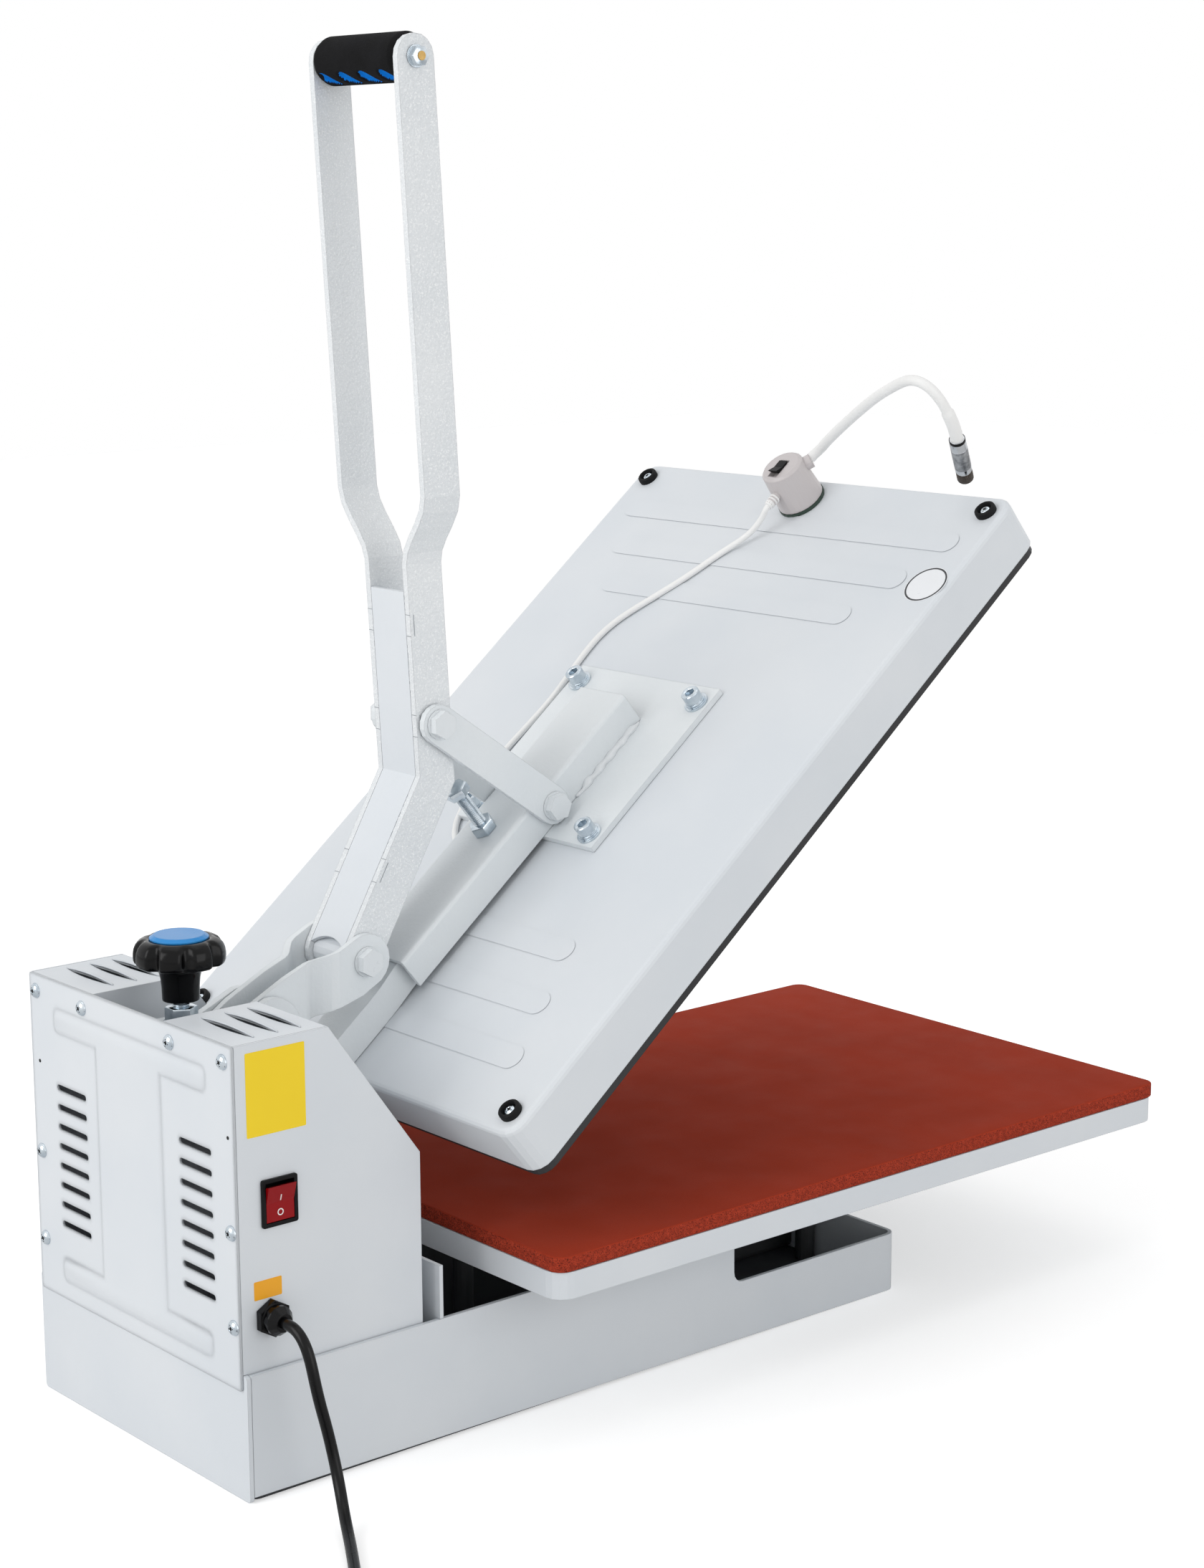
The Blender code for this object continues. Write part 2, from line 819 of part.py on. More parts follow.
def make_uprights():
    bottom = floor_sheet + clearance
    front = back(housing_front - housing_sheet - clearance)
    lug = arc(rocker_hinge, lug_radius, half_turn, 0.45 * half_turn, 10)
    outline = [
        (front, bottom),
        (front, lug_shoulder_height),
        *lug,
        (back(upright_rear), ledge_height),
        (back(ledge_rear), ledge_height),
        (back(ledge_rear), ledge_height - ledge_depth),
        (back(upright_rear), ledge_foot_height),
        (back(upright_rear), bottom),
    ]
    holes = [
        circle(arm_hinge, hinge_pin_radius + clearance),
        circle(rocker_hinge, rocker_pin_radius + clearance),
    ]
    outer = upright_inner + upright_sheet
    for name, low in (("left", -outer), ("right", upright_inner)):
        plate("upright_" + name, [outline] + holes, "x", low, upright_sheet, "grey_paint")
    reach = outer + clearance
    for name, place, radius in (("arm_pin", arm_hinge, hinge_pin_radius),
                                ("rocker_pin", rocker_hinge, rocker_pin_radius)):
        headed_pin(name, radius, reach, radius + pin_lip, pin_head, "zinc", None, (0, *place))
    centre = (0, back(screw_distance))
    ring = rounded(2 * outer, screw_bracket_deep, screw_bracket_corner, centre)
    hole = circle(centre, screw_radius + clearance)
    plate("screw_bracket", [ring, hole], "z", ledge_height + clearance, screw_bracket_sheet, "grey_paint")


def make_housing():
    half = housing_width / 2
    rear = back(housing_rear)
    front = back(housing_front)
    notch = back(housing_rear + rear_plate_sheet + clearance)
    notch_high = base_rear_height + clearance
    outline = [
        (front, housing_bottom),
        (notch, housing_bottom),
        (notch, notch_high),
        (rear, notch_high),
        (rear, housing_top),
        (back(slope_top_distance), housing_top),
        (front, slope_bottom_height),
    ]
    housing = plate("housing_shell", [outline], "x", -half, housing_width, "grey_paint")
    slope = heading(outline[5], outline[6])
    below = housing_bottom - overrun
    past_rear = rear + overrun
    inner_top = housing_top - housing_sheet
    inner_front = front + housing_sheet
    angle = half_turn + slope
    shift = housing_sheet / math.sin(angle)
    slope_run = (slope_top_distance - housing_front) / (housing_top - slope_bottom_height)
    top_corner_y = back(slope_top_distance) + shift + housing_sheet * slope_run
    front_corner_z = slope_bottom_height - (shift - housing_sheet) / -slope_run
    cavity = [
        (past_rear, below),
        (past_rear, inner_top),
        (top_corner_y, inner_top),
        (inner_front, front_corner_z),
        (inner_front, below),
    ]
    room = half - gap_half - 2 * housing_sheet
    cut_plate(housing, "_left_room", [cavity], "x", -half + housing_sheet, room)
    cut_plate(housing, "_right_room", [cavity], "x", gap_half + housing_sheet, room)
    high = housing_top + overrun
    past_front = front - overrun
    gap = [(past_front, gap_bottom), (past_front, high), (past_rear, high), (past_rear, below)]
    gap += [(inner_front, below), (inner_front, gap_bottom)]
    cut_plate(housing, "_gap", [gap], "x", -gap_half, 2 * gap_half)
    slot_high = spine_top + clearance
    slot = (2 * upright_inner, 4 * housing_sheet, slot_high - below)
    cut_box(housing, slot, (0, front, (slot_high + below) / 2))
    slots = []
    for side in (-1, 1):
        for place in louvre_distances:
            centre = (side * louvre_offset, back(place))
            slots.append(lens(louvre_length, louvre_width, centre))
    cut_plate(housing, "_louvres", slots, "z", housing_top - 2 * housing_sheet, 3 * housing_sheet)
    opening = (4 * housing_sheet, switch_width - 2 * switch_lip, switch_tall - 2 * switch_lip)
    cut_box(housing, opening, (-half, back(switch_distance), switch_height))
    drill(housing, gland_thread_radius + clearance, "x", (-half, back(gland_distance), gland_height),
          4 * housing_sheet)
    middle = ((slope_top_distance + housing_front) / 2, (housing_top + slope_bottom_height) / 2)
    lean_angle = math.atan2(housing_top - slope_bottom_height, housing_front - slope_top_distance)
    frame = new_empty("slope_frame", (controller_offset, back(middle[0]), middle[1]), (lean_angle, 0, 0))
    body_width = controller_width - 2 * controller_lip
    body_length = controller_length - 2 * controller_lip
    opening = (body_width + 2 * clearance, body_length + 2 * clearance, 4 * housing_sheet)
    cut_box(housing, opening, (0, 0, 0), frame)
    ring = rounded(controller_width, controller_length, controller_corner)
    controller = plate("controller", [ring], "z", clearance, controller_proud, "black_plastic", frame)
    deep = controller_depth + controller_proud
    join_box(controller, (body_width, body_length, deep), (0, 0, controller_proud / 2 - deep / 2 + clearance))
    centre_x = -half + housing_sheet + clearance + relay_width / 2
    box("relay", (relay_width, relay_length, relay_height),
        (centre_x, back(relay_distance), relay_low + relay_height / 2), "black_plastic")


def make_rear_cover():
    middle = (housing_top + housing_bottom) / 2
    loops = [rounded(housing_width, housing_top - housing_bottom, housing_sheet, (0, middle), 2)]
    for offset in vent_offsets:
        for row in range(vent_count):
            centre = (offset, vent_top - row * vent_pitch)
            loops.append(rounded(vent_length, vent_height, vent_height * 0.45, centre, 3))
    cover = plate("rear_cover", loops, "y", back(housing_sheet), housing_sheet, "grey_paint")
    bar_middle = press_bar_height / 2
    bars = (
        (2 * press_bar_half, press_bar_height, press_bar_top - bar_middle),
        (2 * press_bar_half, press_bar_height, press_bar_bottom + bar_middle),
        (2 * press_stem_half, press_bar_top - press_bar_bottom - press_bar_height,
         (press_bar_top + press_bar_bottom) / 2),
    )
    left_wall = housing_sheet - press_proud
    raised_low = -left_wall / 2
    for width, height, centre in bars:
        pressed = rounded(width, height, press_corner, (0, centre), 3)
        cut_plate(cover, "_pressing", [pressed], "y", back(housing_sheet) - overrun, overrun + press_proud)
        raised = plate("rear_cover_raised", [pressed], "y", rear_y + raised_low,
                       press_proud - raised_low, "grey_paint")
        use_up(raised, cover, "UNION")


def make_switch():
    half = housing_width / 2
    outside = -half - clearance
    low = outside - switch_proud
    ring = rounded(switch_width, switch_tall, switch_rim / 2, (back(switch_distance), switch_height), 2)
    switch = plate("power_switch", [ring], "x", low, switch_proud, "black_plastic")
    wide = switch_width - 2 * (switch_lip + clearance)
    tall = switch_tall - 2 * (switch_lip + clearance)
    deep = switch_depth + switch_proud / 2
    join_box(switch, (deep, wide, tall), (outside - switch_proud / 2 + deep / 2, back(switch_distance),
                                          switch_height))
    room_wide = switch_width - 2 * switch_rim
    room_tall = switch_tall - 2 * switch_rim
    room_deep = switch_depth - switch_wall
    cut_box(switch, (room_deep, room_wide, room_tall),
            (low - overrun + room_deep / 2, back(switch_distance), switch_height))
    axis = (-half + button_axis_depth, back(switch_distance), switch_height)
    frame = new_empty("switch_frame", axis, (0, button_rest_angle, 0))
    inner = button_half - button_deep
    outline = [
        (button_deep, -inner),
        (-button_end_proud, -button_half),
        (-button_middle_proud, 0),
        (-button_end_proud, button_half),
        (button_deep, inner),
    ]
    width = room_wide - 2 * clearance
    plate("power_button", [outline], "y", -width / 2, width, "red_plastic", frame)


def make_gland():
    half = housing_width / 2
    seat = -clearance
    hex_end = seat - gland_hex_length
    dome_end = hex_end - gland_dome_length
    shoulder = hex_end - gland_dome_length / 2
    profile = [
        (0, gland_inside),
        (gland_thread_radius, gland_inside),
        (gland_thread_radius, seat),
        (gland_dome_radius, seat),
        (gland_dome_radius, shoulder),
        (gland_mouth_radius, dome_end),
        (0, dome_end),
    ]
    matrix = along("x", (-half, back(gland_distance), gland_height))
    gland = turned("cord_gland", profile, "black_plastic", None, matrix, 16)
    centre = (-half + seat - gland_hex_length / 2, back(gland_distance), gland_height)
    join_bar(gland, gland_hex_radius, gland_hex_length, "x", centre, 6)
    return dome_end - half


def make_pressure_screw():
    centre = (0, back(screw_distance))
    frame = new_empty("knob_frame", (*centre, 0))
    washer_low = bracket_plate_top + clearance
    washer_high = washer_low + adjust_washer_height
    nut_high = washer_high + adjust_nut_height
    profile = [
        (0, screw_high),
        (screw_radius, screw_high),
        (screw_radius, washer_high),
        (adjust_washer_radius, washer_high),
        (adjust_washer_radius, washer_low),
        (screw_radius, washer_low),
        (screw_radius, screw_low),
        (0, screw_low),
    ]
    screw = turned("adjusting_screw", profile, "zinc", frame, None, 16)
    join_bar(screw, adjust_nut_radius, adjust_nut_height, "z", (0, 0, nut_high - adjust_nut_height / 2), 6)
    bore = screw_radius + clearance
    bore_top = screw_high + clearance
    cap_seat = knob_top - knob_cap_sunk
    cap_room = knob_cap_radius + clearance
    profile = [
        (0, cap_seat),
        (cap_room, cap_seat),
        (cap_room, knob_top),
        (knob_radius - knob_edge, knob_top),
        (knob_radius, knob_rim_high),
        (knob_radius, knob_rim_low + knob_edge / 2),
        (knob_radius - knob_edge, knob_rim_low),
        (knob_neck_radius, knob_rim_low),
        (knob_waist_radius, knob_rim_low - knob_edge),
        (knob_waist_radius, knob_bottom),
        (bore, knob_bottom),
        (bore, bore_top),
        (0, bore_top),
    ]
    knob = turned("knob", profile, "black_plastic", frame, None, 24)
    reach = knob_radius + knob_groove - knob_groove_deep
    for lobe in range(knob_lobes):
        angle = 2 * half_turn * lobe / knob_lobes
        place = (reach * math.cos(angle), reach * math.sin(angle), knob_rim_high - knob_edge)
        drill(knob, knob_groove, "z", place, 2 * (knob_top - knob_rim_low), 12)
    cap_low = cap_seat + clearance
    cap_high = cap_low + knob_cap_height
    profile = [
        (0, cap_high),
        (knob_cap_radius - knob_cap_height, cap_high),
        (knob_cap_radius, cap_low + knob_cap_height / 3),
        (knob_cap_radius, cap_low),
        (0, cap_low),
    ]
    turned("knob_cap", profile, "blue_plastic", frame, None, 24)


def make_rocker():
    frame = new_empty("rocker_frame", (0, *rocker_hinge))
    nose = arc(lever_hinge, rocker_nose_radius, rocker_nose_start, rocker_nose_end, 10)
    hub = arc(rocker_hinge, rocker_hub_radius, rocker_hub_start, 1.5 * half_turn, 4)
    tail = arc(trunnion_axis, rocker_tail_radius, -quarter_turn, quarter_turn, 8)
    under_bracket = (back(screw_distance + screw_bracket_deep / 2 + overrun), tail[-1][1])
    outline = [
        *nose,
        side_place(rocker_chin_distance, rocker_chin_height),
        side_place(rocker_belly_distance, rocker_belly_height),
        *hub,
        *tail,
        under_bracket,
        side_place(rocker_back_distance, rocker_back_height),
        side_place(rocker_crest_distance, rocker_crest_height),
        side_place(rocker_shoulder_distance, rocker_shoulder_height),
    ]
    local = relative(outline, rocker_hinge)
    bends = (back(rocker_bend_front) - rocker_hinge[0], back(rocker_bend_rear) - rocker_hinge[0])
    length = 8 * rocker_outer
    for name, side in (("left", -1), ("right", 1)):
        rocker = joggled("rocker_" + name, local, 1, bends, (rocker_outer, rocker_inner), rocker_sheet,
                         side, "arm_paint", frame)
        for place, radius in ((rocker_hinge, rocker_pin_radius), (lever_hinge, lever_pin_radius),
                              (trunnion_axis, trunnion_pin_radius)):
            centre = relative([place], rocker_hinge)[0]
            drill(rocker, radius + clearance, "x", (0, *centre), length)
    reach = rocker_outer + rocker_sheet + clearance
    centre = (0, *relative([lever_hinge], rocker_hinge)[0])
    pin = headed_pin("lever_pin", lever_pin_radius, reach, bolt_washer_radius, bolt_washer_height,
                     "arm_paint", frame, centre)
    add_hex_heads(pin, reach + bolt_washer_height, centre)
    trunnion_frame = new_empty("trunnion_frame", (0, *trunnion_axis))
    inner = rocker_inner - clearance
    outer = rocker_inner + rocker_sheet
    profile = [
        (0, outer),
        (trunnion_pin_radius, outer),
        (trunnion_pin_radius, inner),
        (trunnion_radius, inner),
        (trunnion_radius, -inner),
        (trunnion_pin_radius, -inner),
        (trunnion_pin_radius, -outer),
        (0, -outer),
    ]
    trunnion = turned("trunnion_nut", profile, "zinc", trunnion_frame, facings["x"], 16)
    drill(trunnion, screw_radius + trunnion_play, "z", (0, 0, 0), 4 * trunnion_radius)


def add_hex_heads(pin, seat, centre):
    for side in (-1, 1):
        middle = Vector(centre) + directions["x"] * side * (seat + bolt_head_height / 2)
        join_bar(pin, bolt_head_radius, bolt_head_height + clearance, "x", middle, 6)


def make_lever():
    frame = new_empty("lever_frame", (0, *lever_hinge))
    knee, top, joint = relative([lever_knee, lever_top, link_on_lever], lever_hinge)
    outline = bent_strip((0, 0), knee, top, lever_width)
    bends = (lever_bend_low - lever_pivot_height, lever_bend_high - lever_pivot_height)
    offsets = (lever_low_half - lever_sheet, lever_high_half - lever_sheet)
    length = 4 * lever_high_half
    for name, side in (("left", -1), ("right", 1)):
        bar = joggled("lever_bar_" + name, outline, 2, bends, offsets, lever_sheet, side, "arm_paint", frame)
        for place, radius in (((0, 0), lever_pin_radius), (joint, link_bolt_radius), (top, grip_bolt_radius)):
            drill(bar, radius + clearance, "x", (0, *place), length)
    inner = lever_low_half - lever_sheet - clearance
    low = (0, 0)
    high_share = (web_top - lever_knee_height) / (lever_top_height - lever_knee_height)
    high = tuple(k + high_share * (t - k) for k, t in zip(knee, top))
    outer_path = beside(low, knee, high, lever_width / 2)
    inner_path = beside(low, knee, high, lever_width / 2 - web_sheet)
    web = plate("lever_web", [outer_path + inner_path[::-1]], "x", -inner, 2 * inner, "arm_paint", frame)
    tilt = heading((0, 0), knee) - quarter_turn
    notch_base = toward((0, 0), knee, web_notch_top - web_notch_radius)
    notch_centre = beside(notch_base, knee, high, lever_width / 2)[0]
    notch = Matrix.Translation((0, *notch_centre)) @ Matrix.Rotation(tilt, 4, "X") @ facings["y"]
    disc = bar_mesh(web_notch_radius, 4 * web_sheet, 48)
    combine(web, tool("lever_web_notch", disc, notch, frame), "DIFFERENCE")
    ring = circle((0, 0), barrel_radius)
    bore = circle((0, 0), lever_pin_radius + clearance)
    plate("lever_barrel", [ring, bore], "x", -inner, 2 * inner, "arm_paint", frame)
    grip_half = lever_high_half - lever_sheet - clearance
    bore = grip_bolt_radius + clearance
    profile = [
        (bore, grip_half),
        (grip_neck_radius, grip_half),
        (grip_radius, grip_half - grip_end),
        (grip_radius, grip_end - grip_half),
        (grip_neck_radius, -grip_half),
        (bore, -grip_half),
    ]
    grip = turned("grip", profile, "foam", frame, along("x", (0, *top)), 20, True)
    pitch = 2 * (grip_half - 2 * grip_end) / grip_fingers
    out = grip_radius + grip_finger_radius - grip_finger_deep
    for finger in range(grip_fingers):
        place = (pitch * (finger - (grip_fingers - 1) / 2), top[0], top[1] - out)
        drill(grip, grip_finger_radius, "y", place, 4 * grip_radius, 16)
    seat = lever_high_half + clearance
    headed_pin("grip_rod", grip_bolt_radius, seat, grip_nut_radius, grip_nut_height, "bright_metal", frame,
               (0, *top), 6)


def make_links():
    frame = new_empty("link_frame", (0, *link_on_arm))
    joint = relative([link_on_lever], link_on_arm)[0]
    outline = strip((0, 0), joint, link_width)
    holes = [circle((0, 0), link_bolt_radius + clearance), circle(joint, link_bolt_radius + clearance)]
    outer = link_inner + link_sheet + clearance
    for name, side in (("left", -1), ("right", 1)):
        low = link_inner if side > 0 else -link_inner - link_sheet
        plate("link_" + name, [outline] + holes, "x", low, link_sheet, "arm_paint", frame)
        start = side * (link_inner + clearance)
        end = side * (outer + bolt_washer_height / 2)
        bolt = rod("link_bolt_" + name, link_bolt_radius, abs(end - start), "x",
                   ((start + end) / 2, *joint), "arm_paint", frame)
        washer = (side * (outer + bolt_washer_height / 2), *joint)
        join_bar(bolt, bolt_washer_radius, bolt_washer_height, "x", washer)
        head = (side * (outer + bolt_washer_height + bolt_head_height / 2), *joint)
        join_bar(bolt, bolt_head_radius, bolt_head_height + clearance, "x", head, 6)


def make_arm():
    frame = new_empty("arm_frame", (0, *arm_hinge), (-open_angle, 0, 0))
    end_low = on_platen(tube_end, tube_low)
    end_high = on_platen(tube_end, tube_high)
    knee_low = []
    knee_high = []
    for along_share, share in tube_knee_shares:
        start = tube_knee_start + along_share * tube_knee_length
        knee_low.append(on_platen(start, tube_run_low + share * (tube_low - tube_run_low)))
        knee_high.append(on_platen(start, tube_run_high + share * (tube_high - tube_run_high)))
    bend_low = (hinge_distance - tube_bend_distance, knee_low[0][1])
    bend_high = (hinge_distance - tube_top_bend_distance, knee_high[0][1])
    rise = heading(bend_low, (0, 0))
    hub = arc((0, 0), tube_hub_radius, rise - quarter_turn, rise + quarter_turn, 12)
    outline = [end_low, *knee_low[::-1], bend_low, *hub, bend_high, *knee_high, end_high]
    arm = plate("arm_tube", [outline], "x", -tube_half, 2 * tube_half, "arm_paint", frame)
    mouth = on_platen(tube_end + overrun, tube_low)[0]
    inner_low = [(y, z + tube_wall) for y, z in [(mouth, end_low[1]), *knee_low[::-1], bend_low]]
    inner_high = [(y, z - tube_wall) for y, z in [bend_high, *knee_high, (mouth, end_high[1])]]
    throat = toward((0, 0), bend_low, 2 * tube_hub_radius)
    cavity = [
        *inner_low,
        (throat[0], throat[1] + tube_wall),
        (throat[0], throat[1] + tube_hub_radius / 2),
        *inner_high,
    ]
    cut_plate(arm, "_bore", [cavity], "x", tube_wall - tube_half, 2 * (tube_half - tube_wall), frame)
    tail = plate("arm_tube_tail", [strip((0, 0), (tail_back, tail_rise), tail_width)], "x", -tail_half,
                 2 * tail_half, "arm_paint", frame)
    use_up(tail, arm, "UNION")
    join_bar(arm, tail_pin_radius, 2 * tail_pin_half, "x", (0, tail_back, tail_rise))
    drill(arm, hinge_pin_radius + clearance, "x", (0, 0, 0), 4 * tube_half)
    plate_low = cover_height + clearance
    plate_high = plate_low + mount_sheet
    near, low = on_platen(mount_end, plate_low)
    far = on_platen(mount_start, plate_low)[0]
    box("mounting_plate", (mount_width, far - near, mount_sheet),
        (0, (near + far) / 2, low + mount_sheet / 2), "arm_paint", frame)
    near, foot = on_platen(channel_end, plate_high + clearance)
    far, crown = on_platen(channel_start, channel_top)
    inside = channel_half - channel_sheet
    left = arc((channel_edge - channel_half, crown - channel_edge), channel_edge, half_turn, quarter_turn, 3)
    right = [(-x, z) for x, z in reversed(left)]
    section = [(-channel_half, foot)] + left + right + [(channel_half, foot)]
    channel = plate("arm_channel", [section], "y", near, far - near, "arm_paint", frame)
    room = (2 * inside, far - near + 2 * overrun, crown - channel_sheet - foot + overrun)
    cut_box(channel, room, (0, (near + far) / 2, foot - overrun + room[2] / 2), frame)
    pivot = on_platen(link_arm_start, link_arm_rise)
    drill(channel, link_bolt_radius + clearance, "x", (0, *pivot), 4 * channel_half)
    reach = link_inner + link_sheet + clearance
    pin = headed_pin("link_pin", link_bolt_radius, reach, bolt_washer_radius, bolt_washer_height,
                     "arm_paint", frame, (0, *pivot))
    add_hex_heads(pin, reach + bolt_washer_height, (0, *pivot))
    place, top = on_platen(stop_start, stop_top)
    bottom = on_platen(stop_start, stop_bottom)[1]
    drill(channel, stop_radius + clearance, "z", (0, place, crown), 4 * channel_sheet)
    stop = rod("stop_bolt", stop_radius, top - bottom, "z", (0, place, (top + bottom) / 2), "zinc", frame)
    nut = crown + clearance + stop_nut_height / 2
    join_bar(stop, stop_head_radius, stop_nut_height, "z", (0, place, nut), 6)
    head = top + stop_head_height / 2 - clearance
    join_bar(stop, stop_head_radius, stop_head_height, "z", (0, place, head), 6)
    return frame


def make_upper_platen(frame):
    rear, rim = on_platen(0, 0)
    centre = (0, rear - cover_length / 2)
    ring = rounded(cover_width, cover_length, cover_corner, centre)
    pressed_tray("upper_cover", ring, rim + cover_height, cover_height, cover_sheet, cover_edge, "grey_paint",
                 frame)
    inset = cover_sheet + clearance
    ring = rounded(cover_width - 2 * inset, cover_length - 2 * inset, cover_corner - inset, centre)
    plate("heat_plate", [ring], "z", rim - heat_below, heat_below + heat_above, "heat_alloy", frame)
    level = rim + heat_above + clearance + element_radius
    first = rear - element_margin
    pitch = (cover_length - 2 * element_margin) / (element_runs - 1)
    across = (cover_width - element_margin - pitch) / 2
    points = []
    for run in range(element_runs):
        side = 1 if run % 2 else -1
        place = first - run * pitch
        points.append((-side * across, place, level))
        points.append((side * across, place, level))
        if run + 1 < element_runs:
            bend = (side * across, place - pitch / 2)
            turn = arc(bend, pitch / 2, quarter_turn, quarter_turn - side * half_turn, 6)
            points += [(x, y, level) for x, y in turn[1:-1]]
    tube("heating_element", points, element_radius, "zinc", frame)
    low = level + element_radius + clearance
    high = rim + cover_height - cover_sheet - clearance
    inset += insulation_inset
    ring = rounded(cover_width - 2 * inset, cover_length - 2 * inset, cover_corner - inset, centre)
    plate("insulation", [ring], "z", low, high - low, "fibre", frame)


def make_springs():
    pin = opened((tail_back, tail_rise))
    low = spine_top + clearance + spring_wire
    high = pin[1] - tail_pin_radius - clearance - spring_wire
    count = spring_turns * 10
    for name, side in (("left", -1), ("right", 1)):
        points = []
        for step in range(count + 1):
            angle = 2 * half_turn * step / 10
            x = side * spring_spread + spring_radius * math.cos(angle)
            y = pin[0] + spring_radius * math.sin(angle)
            points.append((x, y, low + (high - low) * step / count))
        tube("lift_spring_" + name, points, spring_wire, "zinc")


def make_lamp(frame):
    centre_y, base = on_platen(lamp_start, cover_height + clearance)
    ring_high = base + lamp_ring_height
    centre = (0, centre_y, 0)
    profile = [(0, ring_high), (lamp_ring_radius, ring_high), (lamp_ring_radius, base), (0, base)]
    turned("lamp_ring", profile, "green_plastic", frame, Matrix.Translation(centre), 24)
    low = ring_high + clearance
    top = on_platen(0, lamp_top)[1]
    profile = [
        (0, top),
        (lamp_top_radius - lamp_edge, top),
        (lamp_top_radius, top - lamp_edge),
        (lamp_radius, low),
        (0, low),
    ]
    lamp = turned("lamp_body", profile, "lamp_plastic", frame, Matrix.Translation(centre), 24)
    collar = Vector((collar_x, *on_platen(collar_start, collar_rise)))
    inward = Vector((0, centre_y, collar.z)) - collar
    outward = -inward.normalized()
    turn = directions["z"].rotation_difference(outward).to_matrix().to_4x4()
    root = collar - outward * collar_length
    matrix = Matrix.Translation((root + collar) / 2) @ turn
    boss = tool("lamp_collar", bar_mesh(collar_radius, 1.5 * collar_length, 12), matrix, frame)
    combine(lamp, boss, "UNION")
    relief_y = centre_y + lamp_radius
    relief_z = on_platen(0, relief_rise)[1]
    middle = (0, relief_y + relief_length / 2 - lamp_edge, relief_z)
    join_bar(lamp, relief_radius, relief_length, "y", middle, 10)
    room = (
        lamp_button_width + 2 * clearance,
        lamp_button_length + 2 * lamp_edge,
        lamp_button_deep + lamp_edge,
    )
    button_y = centre_y + lamp_button_back
    combine(lamp, tool("lamp_button_room", box_mesh(room), Matrix.Translation(
        (0, button_y, top + overrun - room[2] / 2)), frame), "DIFFERENCE")
    button_frame = new_empty("lamp_button_frame", (0, button_y, top), (lamp_button_rest_angle, 0, 0), frame)
    half = lamp_button_length / 2
    shelf = lamp_button_deep / 2
    outline = [
        (-half / 2, -shelf),
        (-half, lamp_button_proud),
        (0, lamp_button_proud / 2),
        (half, lamp_button_proud),
        (half / 2, -shelf),
    ]
    plate("lamp_button", [outline], "x", -lamp_button_width / 2, lamp_button_width, "black_plastic",
          button_frame)
    neck_start = collar + outward * (collar_length / 4 + clearance)
    y = collar.y - collar_length
    z_of = on_platen(0, 0)[1]
    straight = collar_length / 3
    route = [neck_start + outward * straight * step for step in range(3)]
    route += [(x, y, z_of + rise) for x, rise in neck_shape]
    points = smooth_route(route, 3 * neck_radius)
    tube("gooseneck", points, neck_radius, "neck_plastic", frame)
    end = Vector(points[-1])
    direction = (end - Vector(points[-2])).normalized()
    turn = directions["z"].rotation_difference(direction).to_matrix().to_4x4()
    middle = end + direction * (clearance + laser_length / 2)
    mesh = bar_mesh(laser_radius, laser_length, 16)
    add_object("laser_head", mesh, "bright_metal", frame, Matrix.Translation(middle) @ turn)
    level = on_platen(0, cover_height + clearance + cable_radius)[1]
    relief_end = relief_y + relief_length - lamp_edge + clearance
    route = [(0, relief_end + cable_radius * step, relief_z) for step in range(3)]
    for x, start, lift in cable_route:
        route.append((x, on_platen(start, 0)[0], level + lift))
    tube("lamp_cable", smooth_route(route, 3 * cable_radius), cable_radius, "neck_plastic", frame, 1)


# Freely bent shapes, as the neck and the cables happen to lie: (x, rise) and (x, start, lift).
neck_shape = (
    (-0.046, 0.090),
    (-0.0775, 0.108),
    (-0.123, 0.135),
    (-0.154, 0.151),
    (-0.172, 0.1555),
    (-0.184, 0.147),
    (-0.187, 0.126),
    (-0.1845, 0.110),
    (-0.181, 0.098),
)
cable_route = (
    (0.004, 0.538, 0.013),
    (0.016, 0.527, 0.004),
    (0.0346, 0.512, 0),
    (0.0479, 0.483, 0),
    (0.0673, 0.455, 0),
    (0.0874, 0.426, 0),
    (0.0895, 0.398, 0),
    (0.0850, 0.367, 0),
    (0.0815, 0.339, 0),
    (0.0865, 0.292, 0),
    (0.0860, 0.255, 0),
    (0.0760, 0.216, 0),
    (0.0560, 0.200, 0),
    (0.0400, 0.188, 0),
    (0.0300, 0.176, 0),
    (0.0200, 0.160, 0),
)


def add_lead(coil, start, onward):
    """The straight end of a coiled cord, from a place outside into its outer turn."""
    turn = directions["z"].rotation_difference(onward).to_matrix().to_4x4()
    matrix = Matrix.Translation(start + onward * (clearance + coil_lead / 2)) @ turn
    combine(coil, tool("cord_lead", bar_mesh(cord_radius, coil_lead, 12), matrix), "UNION")


